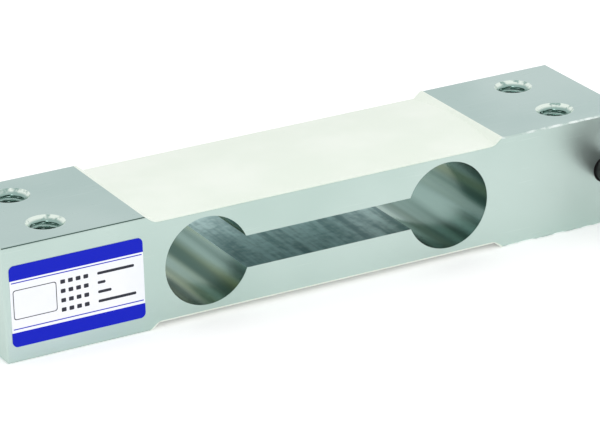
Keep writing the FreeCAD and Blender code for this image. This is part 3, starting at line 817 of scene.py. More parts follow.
@dataclass(frozen=True)
class Moulded:
    """Plastic, rubber or resin with a fine skin, slow colour drift and uneven gloss.

    Attributes:
        name: The material's name.
        tint: Its base colour.
        roughness: Its middle roughness.
        relief: How fine its skin is, per metre.
        coat: Weight of a clear coat.
    """

    name: str
    tint: Tint
    roughness: float = 0.45
    relief: float = 1600.0
    coat: float = 0.0

    def make(self, effects: Effects) -> bpy.types.Material:
        """Builds the material.

        Args:
            effects: The shared shader groups.

        Returns:
            The material.
        """
        look = Surface(self.name, self.tint, roughness=self.roughness)
        tree = look.tree
        skin = look.effect(effects.skin, Relief_Scale=self.relief)
        lighter = (*(min(1.0, channel * 1.25 + 0.004) for channel in self.tint.value), 1)
        look.set("Base Color", tree.mix(skin.outputs["Drift"], self.tint, lighter))
        look.set("Roughness", tree.blend(skin.outputs["Gloss"], self.roughness - 0.08, self.roughness + 0.08))
        look.bump(skin.outputs["Relief"], 0.02 * MM, 0.35)
        look.set("Coat Weight", self.coat)
        return look.material


@dataclass(frozen=True)
class BareMetal:
    """Drawn or rolled metal with fine scratches and slow tarnish.

    Attributes:
        name: The material's name.
        tint: Its base colour.
        roughness: Its middle roughness.
    """

    name: str
    tint: Tint
    roughness: float = 0.3

    def make(self, effects: Effects) -> bpy.types.Material:
        """Builds the material.

        Args:
            effects: The shared shader groups.

        Returns:
            The material.
        """
        look = Surface(self.name, self.tint, roughness=self.roughness, metallic=1.0)
        tree = look.tree
        skin = look.effect(effects.skin, Drift_Scale=700.0, Relief_Scale=4000.0)
        darker = (*(channel * 0.7 for channel in self.tint.value), 1)
        look.set("Base Color", tree.mix(skin.outputs["Drift"], self.tint, darker))
        look.set("Roughness", tree.blend(skin.outputs["Gloss"], self.roughness - 0.06, self.roughness + 0.1))
        look.bump(skin.outputs["Relief"], 0.004 * MM, 0.3)
        return look.material


@dataclass(frozen=True)
class Laminate:
    """Green glass-epoxy board whose weave shows faintly through its lacquer.

    Attributes:
        weave: Scale of the weave, with a thread about every 0.45 mm.
    """

    weave: float = 700.0

    def make(self, effects: Effects) -> bpy.types.Material:
        """Builds the material.

        Args:
            effects: The shared shader groups.

        Returns:
            The material.
        """
        look = Surface("board_laminate", Tint.BOARD, roughness=0.35)
        tree = look.tree
        warp, weft = (
            tree.node("ShaderNodeTexWave", {"bands_direction": axis}, Vector=look.place, Scale=self.weave)
            for axis in "XY"
        )
        weave = tree.both(warp.outputs["Fac"], weft.outputs["Fac"])
        skin = look.effect(effects.skin)
        share = tree.both(weave, tree.blend(skin.outputs["Drift"], 0.6, 1.0))
        look.set("Base Color", tree.mix(share, Tint.BOARD, Tint.BOARD_WEAVE))
        look.bump(weave, 0.01 * MM, 0.3)
        look.set("Coat Weight", 0.5)
        return look.material


@dataclass(frozen=True)
class Field:
    """A printed field on the label, in millimetres from the label's lower left corner.

    Attributes:
        left: Left side.
        right: Right side.
        low: Lower side.
        high: Upper side.
        corner: Corner radius.
        tint: Its colour.
    """

    left: float
    right: float
    low: float
    high: float
    corner: float
    tint: Tint


@dataclass(frozen=True)
class PrintedVinyl:
    """Glossy white vinyl with plain printed fields, all in millimetres from its lower left corner.

    Attributes:
        width: The label's width.
        height: Its height.
        band: Height of the bands along its top and bottom.
        bleed: How far a band's print runs past the label's edge.
        hairlines: Heights of the two hairlines.
        line: Thickness of a hairline and of the box's outline.
        inset: Gap between a hairline's end and the label's edge.
        box: Left, right, low and high side of the empty outlined box.
        box_corners: Corner radius of the box's outline, outside and inside.
        row_low: Height of the lowest row of blocks.
        row_pitch: From one row to the next.
        block_left: Place of a row's first block.
        block_pitch: From one block to the next.
        block_size: Width and height of a block.
        block_corner: A block's corner radius.
        blocks: Number of blocks in a row.
        bar_left: Place of the bar after the blocks.
        bar_low: Height of a bar over its row.
        bar_height: A bar's own height.
        bar_corner: A bar's corner radius.
        bars: Length of each row's bar, from the lowest row up.
    """

    width: float = 26.0
    height: float = 15.4
    band: float = 2.75
    bleed: float = 0.1
    hairlines: tuple[float, float] = (12.2, 3.4)
    line: float = 0.16
    inset: float = 0.3
    box: tuple[float, float, float, float] = (0.5, 8.9, 5.2, 10.8)
    box_corners: tuple[float, float] = (0.5, 0.4)
    row_low: float = 4.75
    row_pitch: float = 1.78
    block_left: float = 9.7
    block_pitch: float = 1.5
    block_size: tuple[float, float] = (0.9, 0.75)
    block_corner: float = 0.15
    blocks: int = 4
    bar_left: float = 16.9
    bar_low: float = 0.15
    bar_height: float = 0.5
    bar_corner: float = 0.2
    bars: tuple[float, ...] = (7.4, 2.6, 1.5, 7.2)

    def fields(self) -> Iterable[Field]:
        """Lays out bands, hairlines, an empty outlined box and rows of blocks and bars.

        Yields:
            Each field, from the bottom layer to the top one.
        """
        yield Field(0.0, self.width, self.height - self.band, self.height + self.bleed, 0.0, Tint.PRINT)
        yield Field(0.0, self.width, -self.bleed, self.band, 0.0, Tint.PRINT)
        half = self.line / 2
        for middle in self.hairlines:
            yield Field(self.inset, self.width - self.inset, middle - half, middle + half, 0.0, Tint.PRINT)
        left, right, low, high = self.box
        line = self.line
        outer, inner = self.box_corners
        yield Field(left, right, low, high, outer, Tint.INK)
        yield Field(left + line, right - line, low + line, high - line, inner, Tint.LABEL)
        wide, tall = self.block_size
        for row, reach in enumerate(self.bars):
            low = self.row_low + self.row_pitch * row
            for block in range(self.blocks):
                left = self.block_left + self.block_pitch * block
                yield Field(left, left + wide, low, low + tall, self.block_corner, Tint.INK)
            foot, end = low + self.bar_low, self.bar_left + reach
            yield Field(self.bar_left, end, foot, foot + self.bar_height, self.bar_corner, Tint.INK)

    def make(self, effects: Effects) -> bpy.types.Material:
        """Builds the material.

        Args:
            effects: The shared shader groups.

        Returns:
            The material.
        """
        look = Surface("printed_vinyl", Tint.LABEL, roughness=0.32)
        tree = look.tree
        corner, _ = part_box("rating_label")
        skin = look.effect(effects.skin, Drift_Scale=90.0, Relief_Scale=500.0)
        paper = tree.mix(skin.outputs["Drift"], Tint.LABEL_SHADE, Tint.LABEL)
        colour = paper
        for spot in self.fields():
            inside = look.effect(
                effects.patch,
                Left=corner[0] + spot.left * MM,
                Right=corner[0] + spot.right * MM,
                Low=corner[2] + spot.low * MM,
                High=corner[2] + spot.high * MM,
                Corner=spot.corner * MM,
            ).outputs[0]
            colour = tree.mix(inside, colour, paper if spot.tint is Tint.LABEL else spot.tint)
        look.set("Base Color", colour)
        look.bump(skin.outputs["Relief"], 0.01 * MM, 0.2)
        look.set("Specular IOR Level", 0.2)
        return look.material


# ---------------------------------------------------------------- meshes


def place_object(name: str, data: Any) -> bpy.types.Object:
    """Links a new object into the scene, at the origin.

    Args:
        name: The object's name.
        data: Its mesh, curve, lamp or camera.

    Returns:
        The new object.
    """
    made = bpy.data.objects.new(name, data)
    bpy.context.scene.collection.objects.link(made)
    return made


def add_piece(name: str, data: Any, material: bpy.types.Material) -> bpy.types.Object:
    """Links a new piece into the scene on the object's one body.

    Args:
        name: The piece's name.
        data: Its mesh or curve.
        material: Its material.

    Returns:
        The new object.
    """
    piece = place_object(name, data)
    data.materials.clear()
    data.materials.append(material)
    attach(piece, BODY)
    return piece


def run_tree(group: Group, values: dict[str, Any], base: Any) -> bpy.types.Mesh:
    """Runs a geometry tree once and keeps what it makes as a plain mesh.

    Args:
        group: The tree.
        values: Its inputs by name.
        base: The mesh or curve that it starts from.

    Returns:
        The mesh.
    """
    holder = place_object(group.name, base)
    modifier = holder.modifiers.new("shape", "NODES")
    modifier.node_group = group.data
    items = group.data.interface.items_tree
    sockets = {item.name: item.identifier for item in items if item.in_out == "INPUT"}
    for label, value in values.items():
        modifier[sockets[label]] = value
    graph = bpy.context.evaluated_depsgraph_get()
    mesh = bpy.data.meshes.new_from_object(holder.evaluated_get(graph), depsgraph=graph)
    bpy.data.objects.remove(holder)
    return mesh


def dress(nodes: dict[str, bpy.types.Object], labels: Iterable[str], material: bpy.types.Material) -> None:
    """Gives CAD nodes a material in place of the frame's plain one.

    Args:
        nodes: The CAD nodes.
        labels: Names of those to dress.
        material: Their material.
    """
    for label in labels:
        for slot in nodes[label].material_slots:
            slot.material = material
        LOG.info("dressed %s in %s", label, material.name)


# ---------------------------------------------------------------- sub-assemblies


@dataclass
class LoadBeam:
    """The machined beam with its four tapped holes.

    Attributes:
        width: Width of the beam.
        height: Its height.
        bore_x: Place of each cross bore from the middle.
        bore_radius: Radius of the cross bores.
        slot_half: Half the height of the slot between them.
        mount_x: Place of each row of tapped holes from the middle.
        mount_y: Place of each tapped hole from the centre line.
        drill_radius: Radius of the tapping drill.
        thread_radius: Outer radius of the thread.
        pitch: Rise of the thread in one turn.
        sink_radius: Radius of the countersink at its mouth.
        steps: Faces round a hole, as in the CAD model.
        rows_per_turn: Rows of faces in one turn of thread.
        flank: How fast the thread's depth falls over half a pitch, in whole depths.
        root: Depth at the root before it is cut flat, in whole depths.
        slack: How far round a hole its faces and its finish are taken to lie.
        crease: Angle in degrees from which an edge is sharp.
    """

    width: float = 30 * MM
    height: float = 22 * MM
    bore_x: float = 25 * MM
    bore_radius: float = 8.5 * MM
    slot_half: float = 3.1 * MM
    mount_x: float = 53 * MM
    mount_y: float = 7.5 * MM
    drill_radius: float = 2.5 * MM
    thread_radius: float = 3 * MM
    pitch: float = 1 * MM
    sink_radius: float = 3.6 * MM
    steps: int = 42
    rows_per_turn: int = 10
    flank: float = 1.3
    root: float = 1.18
    slack: float = 0.02 * MM
    crease: float = 22.0

    def finish(self) -> MachinedMetal:
        """Fits the finish to the beam's sizes.

        Returns:
            The finish.
        """
        return MachinedMetal(
            half_width=self.width / 2,
            half_height=self.height / 2,
            bore_x=self.bore_x,
            bore_radius=self.bore_radius,
            slot_half=self.slot_half,
            mount_x=self.mount_x,
            mount_y=self.mount_y,
            hole_radius=self.sink_radius + self.slack,
        )

    def thread_tree(self) -> Group:
        """Geometry tree for one threaded wall, repeated on the pattern of holes.

        Returns:
            The group.
        """
        number = Kind.NUMBER
        group = Group(
            "threaded_holes",
            {
                "Drill Radius": (number, 0.0),
                "Thread Radius": (number, 0.0),
                "Pitch": (number, 0.0),
                "Mouth Radius": (number, 0.0),
                "Length": (number, 0.0),
                "Steps": (Kind.COUNT, 3),
                "Rows": (Kind.COUNT, 3),
                "Spacing X": (number, 0.0),
                "Spacing Y": (number, 0.0),
                "Material": (Kind.MATERIAL, None),
            },
            {"Geometry": Kind.SHAPE},
            family="GeometryNodeTree",
        )
        tree = group.tree
        grid = tree.node(
            "GeometryNodeMeshGrid",
            Size_X=1.0,
            Size_Y=1.0,
            Vertices_X=tree.math("ADD", group.get("Steps"), 1.0),
            Vertices_Y=tree.math("ADD", group.get("Rows"), 1.0),
        )
        across, along, _ = tree.split(tree.node("GeometryNodeInputPosition").outputs[0])
        share = tree.math("ADD", across, 0.5)
        turn = tree.math("MULTIPLY", share, math.tau)
        height = tree.math("MULTIPLY", tree.math("ADD", along, 0.5), group.get("Length"))
        turns = tree.math("DIVIDE", height, group.get("Pitch"))
        phase = tree.math("FRACT", tree.math("SUBTRACT", turns, share))
        centred = tree.math("ABSOLUTE", tree.math("MULTIPLY_ADD", phase, 2.0, -1.0))
        groove = tree.math("MULTIPLY_ADD", centred, -self.flank, self.root, clamp=True)
        left = tree.math("SUBTRACT", group.get("Length"), height)
        depth = tree.math("SUBTRACT", group.get("Thread Radius"), group.get("Drill Radius"))
        cut = tree.math("MULTIPLY_ADD", depth, groove, group.get("Drill Radius"))
        cone = tree.math("SUBTRACT", group.get("Mouth Radius"), tree.math("MINIMUM", height, left))
        radius = tree.math("MAXIMUM", cut, cone)
        place = tree.join(
            tree.math("MULTIPLY", radius, tree.math("COSINE", turn)),
            tree.math("MULTIPLY", radius, tree.math("SINE", turn)),
            height,
        )
        wall = tree.node("GeometryNodeSetPosition", Geometry=grid.outputs["Mesh"], Position=place)
        turned = tree.node("GeometryNodeFlipFaces", Mesh=wall.outputs[0])
        closed = tree.node("GeometryNodeMergeByDistance", Geometry=turned.outputs[0], Distance=WELD)
        smooth = tree.node("GeometryNodeSetShadeSmooth", Geometry=closed.outputs[0])
        pattern = tree.node(
            "GeometryNodeMeshGrid",
            Size_X=group.get("Spacing X"),
            Size_Y=group.get("Spacing Y"),
            Vertices_X=2,
            Vertices_Y=2,
        )
        spots = pattern.outputs["Mesh"]
        holes = tree.node("GeometryNodeInstanceOnPoints", Points=spots, Instance=smooth.outputs[0])
        real = tree.node("GeometryNodeRealizeInstances", Geometry=holes.outputs[0])
        done = tree.node("GeometryNodeSetMaterial", Geometry=real.outputs[0], Material=group.get("Material"))
        group.give("Geometry", done.outputs[0])
        return group

    def threads(self, metal: bpy.types.Material) -> bpy.types.Mesh:
        """Makes the walls of the four tapped holes.

        Args:
            metal: The beam's material.

        Returns:
            Their mesh.
        """
        values = {
            "Drill Radius": self.drill_radius,
            "Thread Radius": self.thread_radius,
            "Pitch": self.pitch,
            "Mouth Radius": self.sink_radius,
            "Length": self.height,
            "Steps": self.steps,
            "Rows": round(self.height / self.pitch * self.rows_per_turn),
            "Spacing X": 2 * self.mount_x,
            "Spacing Y": 2 * self.mount_y,
            "Material": metal,
        }
        return run_tree(self.thread_tree(), values, bpy.data.meshes.new("thread_start"))

    def on_hole_wall(self, face: bmesh.types.BMFace) -> bool:
        """Tells a face of a tapped hole's wall or countersink from the flat round it.

        Args:
            face: A face of the beam.

        Returns:
            Whether it belongs to the hole.
        """
        heights = {round(vert.co.z / MM, 2) for vert in face.verts}
        reach = self.sink_radius + self.slack
        return len(heights) > 1 and all(
            math.hypot(abs(vert.co.x) - self.mount_x, abs(vert.co.y) - self.mount_y) < reach
            for vert in face.verts
        )

    def build(self, nodes: dict[str, bpy.types.Object], effects: Effects) -> None:
        """Makes the threaded beam, which stands for the CAD one.

        Args:
            nodes: The CAD nodes.
            effects: The shared shader groups.
        """
        mesh = bpy.data.meshes.new("threaded_beam")
        metal = self.finish().make(effects)
        walls = self.threads(metal)
        work = bmesh.new()
        work.from_mesh(nodes["beam"].data)
        bmesh.ops.remove_doubles(work, verts=work.verts, dist=WELD)
        plain = [face for face in work.faces if self.on_hole_wall(face)]
        bmesh.ops.delete(work, geom=plain, context="FACES")
        work.from_mesh(walls)
        bmesh.ops.remove_doubles(work, verts=work.verts, dist=WELD)
        for face in work.faces:
            face.smooth = True
            face.material_index = 0
        open_edges = sum(edge.is_boundary for edge in work.edges)
        work.to_mesh(mesh)
        work.free()
        if "custom_normal" in mesh.attributes:
            mesh.attributes.remove(mesh.attributes["custom_normal"])
        mesh.set_sharp_from_angle(angle=math.radians(self.crease))
        bpy.data.meshes.remove(walls)
        beam = add_piece("threaded_beam", mesh, metal)
        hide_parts("beam")
        LOG.info("threaded beam: %d faces, %d open edges", len(mesh.polygons), open_edges)


@dataclass
class Coverings:
    """The two sealing layers and the label.

    Attributes:
        seals: CAD nodes of the sealing layers.
        label: CAD node of the label.
    """

    seals: tuple[str, str] = ("top_seal", "bottom_seal")
    label: str = "rating_label"

    def build(self, nodes: dict[str, bpy.types.Object], effects: Effects) -> None:
        """Dresses the seals and the label.

        Args:
            nodes: The CAD nodes.
            effects: The shared shader groups.
        """
        dress(nodes, self.seals, LevelledSeal().make(effects))
        dress(nodes, [self.label], PrintedVinyl().make(effects))


@dataclass
class Circuit:
    """Gauges, boards and leads under the seals, and what seals the cable in its entry.

    Attributes:
        colours: Tints of the leads to the upper board.
    """

    colours: tuple[Tint, ...] = (Tint.RED, Tint.BLACK, Tint.GREEN, Tint.WHITE)

    def build(
        self, nodes: dict[str, bpy.types.Object], effects: Effects, wires: dict[Tint, bpy.types.Material]
    ) -> None:
        """Dresses what the seals cover.

        Args:
            nodes: The CAD nodes.
            effects: The shared shader groups.
            wires: Wire materials by colour.
        """
        finishes = {
            ("gauge_film",): Moulded("gauge_film", Tint.FILM, roughness=0.25, coat=0.3),
            ("gauge_grid",): BareMetal("gauge_foil", Tint.FOIL, roughness=0.35),
            ("gauge_ribbons", "solder_pads"): BareMetal("copper", Tint.COPPER),
            ("circuit_board", "terminal_board"): Laminate(),
            ("trim_resistors",): Moulded("resistor_body", Tint.RESISTOR, roughness=0.4),
            ("link_leads",): Moulded("enamel", Tint.ENAMEL, roughness=0.3),
            ("splice_sleeve",): Moulded("splice_cover", Tint.SLEEVE, roughness=0.5, relief=900.0),
            ("cable_seal",): Moulded("potting", Tint.POTTING, roughness=0.6, relief=700.0),
        }
        for starts, finish in finishes.items():
            dress(nodes, [name for name in nodes if name.startswith(starts)], finish.make(effects))
        for tint in self.colours:
            dress(nodes, [f"inner_lead_{tint.name.lower()}"], wires[tint])


def round_wire(name: str, points: Sequence[Vector], diameter: float, resolution: int = 8) -> bpy.types.Curve:
    """A round curve of one open spline that follows control points.

    Args:
        name: The curve's name.
        points: Its control points.
        diameter: Its thickness; nought for a bare line.
        resolution: Steps between two control points.

    Returns:
        The curve.
    """
    curve = bpy.data.curves.new(name, "CURVE")
    curve.dimensions = "3D"
    curve.bevel_depth = diameter / 2
    curve.bevel_resolution = 6
    curve.use_fill_caps = True
    curve.resolution_u = resolution
    spline = curve.splines.new("NURBS")
    spline.points.add(len(points) - 1)
    for target, point in zip(spline.points, points):
        target.co = (*point, 1)
    spline.order_u = 3
    spline.use_endpoint_u = True
    return curve


@dataclass
class SignalCable:
    """The black signal cable, from inside the beam over the coil to the sleeve at its stripped end.

    Attributes:
        diameter: Outer diameter of the jacket.
        length: Real length from the beam to the sleeve.
        exit: Where it leaves the beam.
        route: Control points of its free stretch.
        coil_start: Radius of the coil's first turn.
        coil_pitch: How far the coil widens in one turn.
        coil_turns: Number of turns.
        steps_per_turn: Control points in one turn.
        approach: From the route's end to where the first turn starts.
        over_gap: Gap to the outer turn where the cable crosses over it.
        descent: Control points from the crossing down to the first turn: how far before that turn
            each lies, and its share of the crossing's height.
        tail: Control points after the last turn, from its end; they rise, so that the sleeve
            lies on the floor.
    """

    diameter: float = 5 * MM
    length: float = 0.44
    exit: Vector = field(default_factory=lambda: Vector((59.65, -15, 11)) * MM)
    route: tuple[Vector, ...] = (
        Vector((59.65, -8, 11)) * MM,
        Vector((59.65, -23.2, 11)) * MM,
        Vector((67.3, -36.4, 10.6)) * MM,
        Vector((80.5, -44, 9.7)) * MM,
        Vector((95.8, -44, 7.6)) * MM,
    )
    coil_start: float = 22.5 * MM
    coil_pitch: float = 5.2 * MM
    coil_turns: int = 2
    steps_per_turn: int = 16
    approach: float = 20 * MM
    over_gap: float = 0.1 * MM
    descent: tuple[tuple[float, float], ...] = ((13 * MM, 1.0), (5 * MM, 0.55))
    tail: tuple[Vector, ...] = (
        Vector((1.9, 0, 0)) * MM,
        Vector((10.45, 0, 0.18)) * MM,
        Vector((19, 0, 0.45)) * MM,
    )

    @property
    def centre(self) -> Vector:
        """Centre of the coil on the floor."""
        entry = self.route[-1]
        return Vector((entry.x + self.approach, entry.y + self.coil_start, 0))

    @property
    def outlet(self) -> Vector:
        """Where the last turn ends and the tail starts."""
        last = self.coil_start + self.coil_pitch * self.coil_turns
        return self.centre + Vector((0, -last, self.diameter / 2))

    @property
    def onward(self) -> Vector:
        """Direction of the tail and the sleeve."""
        return self.tail[-1].normalized()

    @property
    def jacket_end(self) -> Vector:
        """Where the jacket ends inside the sleeve."""
        return self.outlet + self.tail[-1]

    def coil(self) -> list[Vector]:
        """Winds the coil: over the outer turn, down into the coil, round it and out along the tail.

        Returns:
            Its control points.
        """
        lying = self.diameter / 2
        rise = self.diameter + self.over_gap
        first = self.centre + Vector((0, -self.coil_start, lying))
        points = [first + Vector((-before, 0, share * rise)) for before, share in self.descent]
        # A control point lies a little outside the turn that the curve draws.
        outside = math.cos(math.pi / self.steps_per_turn) ** -0.5
        for step in range(1, self.steps_per_turn * self.coil_turns):
            share = step / self.steps_per_turn
            radius = (self.coil_start + self.coil_pitch * share) * outside
            turn = math.tau * share - math.pi / 2
            points.append(self.centre + Vector((radius * math.cos(turn), radius * math.sin(turn), lying)))
        return [*points, *(self.outlet + point for point in self.tail)]

    def build(self, effects: Effects) -> bpy.types.Object:
        """Makes the jacket, which stands for its two CAD nodes.

        Args:
            effects: The shared shader groups.

        Returns:
            The jacket.
        """
        material = Moulded("cable_jacket", Tint.JACKET, roughness=0.46, relief=2200.0).make(effects)
        curve = round_wire("cable_line", [*self.route, *self.coil()], self.diameter)
        cable = add_piece("signal_cable_jacket", curve, material)
        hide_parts("signal_cable", "cable_coil")
        LOG.info("signal cable jacket built")
        return cable


@dataclass(frozen=True)
class Core:
    """One insulated wire out of the sleeve.

    Attributes:
        tint: Its colour.
        slot: The record's slot for it.
        place: Where it lies in the row of cores, in pitches from the row's middle.
    """

    tint: Tint
    slot: Slot
    place: float


@dataclass
class StrippedEnd:
    """The cable's free end: a shrink sleeve, four cores with tinned tips, and the drain wire.

    Attributes:
        cable: The cable that it ends.
        sleeve: Length of the sleeve.
        core_diameter: Diameter of a core.
        pitch: From one core to the next at the sleeve.
        fan: How far each core ends further aside than its neighbour, less the pitch.
        reach: Length of the cores.
        rest: Height of a core's end.
        tip: Length of a tinned tip.
        tip_diameter: Its diameter.
        drain_diameter: Diameter of the drain wire.
        drain_rest: Height of its end.
        drain_lift: How far above the row of cores it starts.
        inset: How far inside the sleeve a wire's line starts, and how far it runs straight out.
        tip_root: How far a tip's line starts inside its core.
        half_row: Half the row of cores, in pitches.
        strands: Strands in a bare wire, without the middle one.
        across: Strands across a bare wire.
        fineness: Steps along a bare wire in one diameter.
        lay: Length of one twist of the strands.
        cores: The cores, in their row.
    """

    cable: SignalCable
    sleeve: float = 14 * MM
    core_diameter: float = 1.2 * MM
    pitch: float = 1.32 * MM
    fan: float = 2.2 * MM
    reach: float = 22 * MM
    rest: float = 1.2 * MM
    tip: float = 4 * MM
    tip_diameter: float = 0.7 * MM
    drain_diameter: float = 0.8 * MM
    drain_rest: float = 0.4 * MM
    drain_lift: float = 1.32 * MM
    inset: float = 3 * MM
    tip_root: float = 1 * MM
    half_row: float = 1.5
    strands: int = 6
    across: int = 3
    fineness: int = 4
    lay: float = 5 * MM
    cores: tuple[Core, ...] = (
        Core(Tint.RED, Slot.RED, -1.5),
        Core(Tint.BLACK, Slot.BLACK, -0.5),
        Core(Tint.GREEN, Slot.GREEN, 0.5),
        Core(Tint.WHITE, Slot.WHITE, 1.5),
    )

    def line(self, place: float, height: float, rest: float) -> list[Vector]:
        """Control points of one wire: straight out of the sleeve, then aside and down.

        Args:
            place: Where it lies in the row, in pitches from the middle.
            height: How far above the row it starts.
            rest: Height of its end.

        Returns:
            Its control points.
        """
        onward = self.cable.onward
        start = self.cable.jacket_end + onward * self.sleeve + Vector((0, place * self.pitch, height))
        knee = start + onward * self.reach / 2
        end = knee + onward * self.reach / 2 + Vector((0, self.fan * (place + self.half_row), 0))
        end.z = rest
        return [start - onward * self.inset, start + onward * self.inset, knee, end]

    def strand_tree(self) -> Group:
        """Geometry tree that turns one line into twisted strands round a middle one.

        Returns:
            The group.
        """
        number = Kind.NUMBER
        group = Group(
            "twisted_strands",
            {
                "Geometry": (Kind.SHAPE, None),
                "Strands": (Kind.COUNT, 6),
                "Strand Radius": (number, 0.0001),
                "Lay": (number, 0.005),
                "Step": (number, 0.0002),
                "Material": (Kind.MATERIAL, None),
            },
            {"Geometry": Kind.SHAPE},
            family="GeometryNodeTree",
        )
        tree = group.tree
        even = tree.node("GeometryNodeResampleCurve", {"mode": "LENGTH"}, Curve=group.get("Geometry"))
        tree.feed(even.inputs["Length"], group.get("Step"))
        copies = tree.node("GeometryNodeDuplicateElements", {"domain": "SPLINE"}, Geometry=even.outputs[0])
        tree.feed(copies.inputs["Amount"], group.get("Strands"))
        walked = tree.node("GeometryNodeSplineParameter").outputs["Length"]
        start = tree.math("DIVIDE", copies.outputs["Duplicate Index"], group.get("Strands"))
        twists = tree.math("ADD", tree.math("DIVIDE", walked, group.get("Lay")), start)
        turn = tree.math("MULTIPLY", twists, math.tau)
        along = tree.node("GeometryNodeInputTangent").outputs[0]
        aside = tree.node("GeometryNodeInputNormal").outputs[0]
        over = tree.node("ShaderNodeVectorMath", {"operation": "CROSS_PRODUCT"})
        tree.fill(over, (along, aside))
        reach = tree.math("MULTIPLY", group.get("Strand Radius"), 2.0)
        parts = []
        for direction, wave in ((aside, "COSINE"), (over.outputs[0], "SINE")):
            scaled = tree.node("ShaderNodeVectorMath", {"operation": "SCALE"}, Vector=direction)
            tree.feed(scaled.inputs["Scale"], tree.math("MULTIPLY", reach, tree.math(wave, turn)))
            parts.append(scaled.outputs[0])
        offset = tree.node("ShaderNodeVectorMath", {"operation": "ADD"})
        tree.fill(offset, parts)
        twisted = tree.node("GeometryNodeSetPosition", Geometry=copies.outputs[0], Offset=offset.outputs[0])
        bundle = tree.node("GeometryNodeJoinGeometry")
        tree.feed(bundle.inputs[0], twisted.outputs[0])
        tree.feed(bundle.inputs[0], even.outputs[0])
        radius = group.get("Strand Radius")
        profile = tree.node("GeometryNodeCurvePrimitiveCircle", Resolution=8, Radius=radius).outputs[0]
        solid = tree.node("GeometryNodeCurveToMesh", Curve=bundle.outputs[0], Profile_Curve=profile)
        tree.feed(solid.inputs["Fill Caps"], True)
        smooth = tree.node("GeometryNodeSetShadeSmooth", Geometry=solid.outputs[0])
        real = tree.node("GeometryNodeRealizeInstances", Geometry=smooth.outputs[0])
        done = tree.node("GeometryNodeSetMaterial", Geometry=real.outputs[0], Material=group.get("Material"))
        group.give("Geometry", done.outputs[0])
        return group

    def strand(
        self, group: Group, lines: Sequence[Sequence[Vector]], diameter: float, metal: bpy.types.Material
    ) -> bpy.types.Mesh:
        """Twisted bare wire along some lines, as one mesh.

        Args:
            group: The tree that twists it.
            lines: Control points of each line.
            diameter: The wire's diameter over its strands.
            metal: Its material.

        Returns:
            The mesh.
        """
        work = bmesh.new()
        values = {
            "Strands": self.strands,
            "Strand Radius": diameter / self.across / 2,
            "Lay": self.lay,
            "Step": diameter / self.fineness,
            "Material": metal,
        }
        for points in lines:
            curve = round_wire("bare_line", points, 0.0)
            mesh = run_tree(group, values, curve)
            work.from_mesh(mesh)
            bpy.data.meshes.remove(mesh)
        joined = bpy.data.meshes.new("bare_strands")
        work.to_mesh(joined)
        work.free()
        return joined

    def build(
        self, nodes: dict[str, bpy.types.Object], effects: Effects, wires: dict[Tint, bpy.types.Material]
    ) -> list[bpy.types.Object]:
        """Makes the cores, their tips and the drain wire.

        Args:
            nodes: The CAD nodes.
            effects: The shared shader groups.
            wires: Wire materials by colour.

        Returns:
            The pieces that lie on the cable.
        """
        pieces, tips = [nodes["end_sleeve"]], []
        sleeve = Moulded("shrink_sleeve", Tint.SLEEVE, roughness=0.5, relief=900.0).make(effects)
        dress(nodes, ["end_sleeve"], sleeve)
        for core in self.cores:
            label = core.tint.name.lower()
            points = self.line(core.place, 0.0, self.rest)
            curve = round_wire(f"{label}_line", points, self.core_diameter)
            wire = add_piece(f"core_{label}", curve, wires[core.tint])
            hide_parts(f"lead_{label}")
            pieces.append(wire)
            end = points[-1]
            ahead = (end - points[-2]).normalized()
            tips.append([end - ahead * self.tip_root, end, end + ahead * self.tip])
            LOG.info("%s core built", label)
        group = self.strand_tree()
        bare = wires[Tint.TINNED]
        tinned = self.strand(group, tips, self.tip_diameter, bare)
        ends = add_piece("tinned_tips", tinned, bare)
        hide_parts("lead_tips")
        drain_line = self.line(0.0, self.drain_lift, self.drain_rest)
        twisted = self.strand(group, [drain_line], self.drain_diameter, bare)
        drain = add_piece("drain_strands", twisted, bare)
        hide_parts("drain_wire")
        LOG.info("tinned tips and drain wire built")
        return [*pieces, ends, drain]


# ---------------------------------------------------------------- stage


@dataclass(frozen=True)
class Lamp:
    """A soft square light that faces the object.

    Attributes:
        name: Its name.
        place: Where it hangs, in metres.
        size: Its side.
        power: Its power in watts.
    """

    name: str
    place: tuple[float, float, float]
    size: float
    power: float


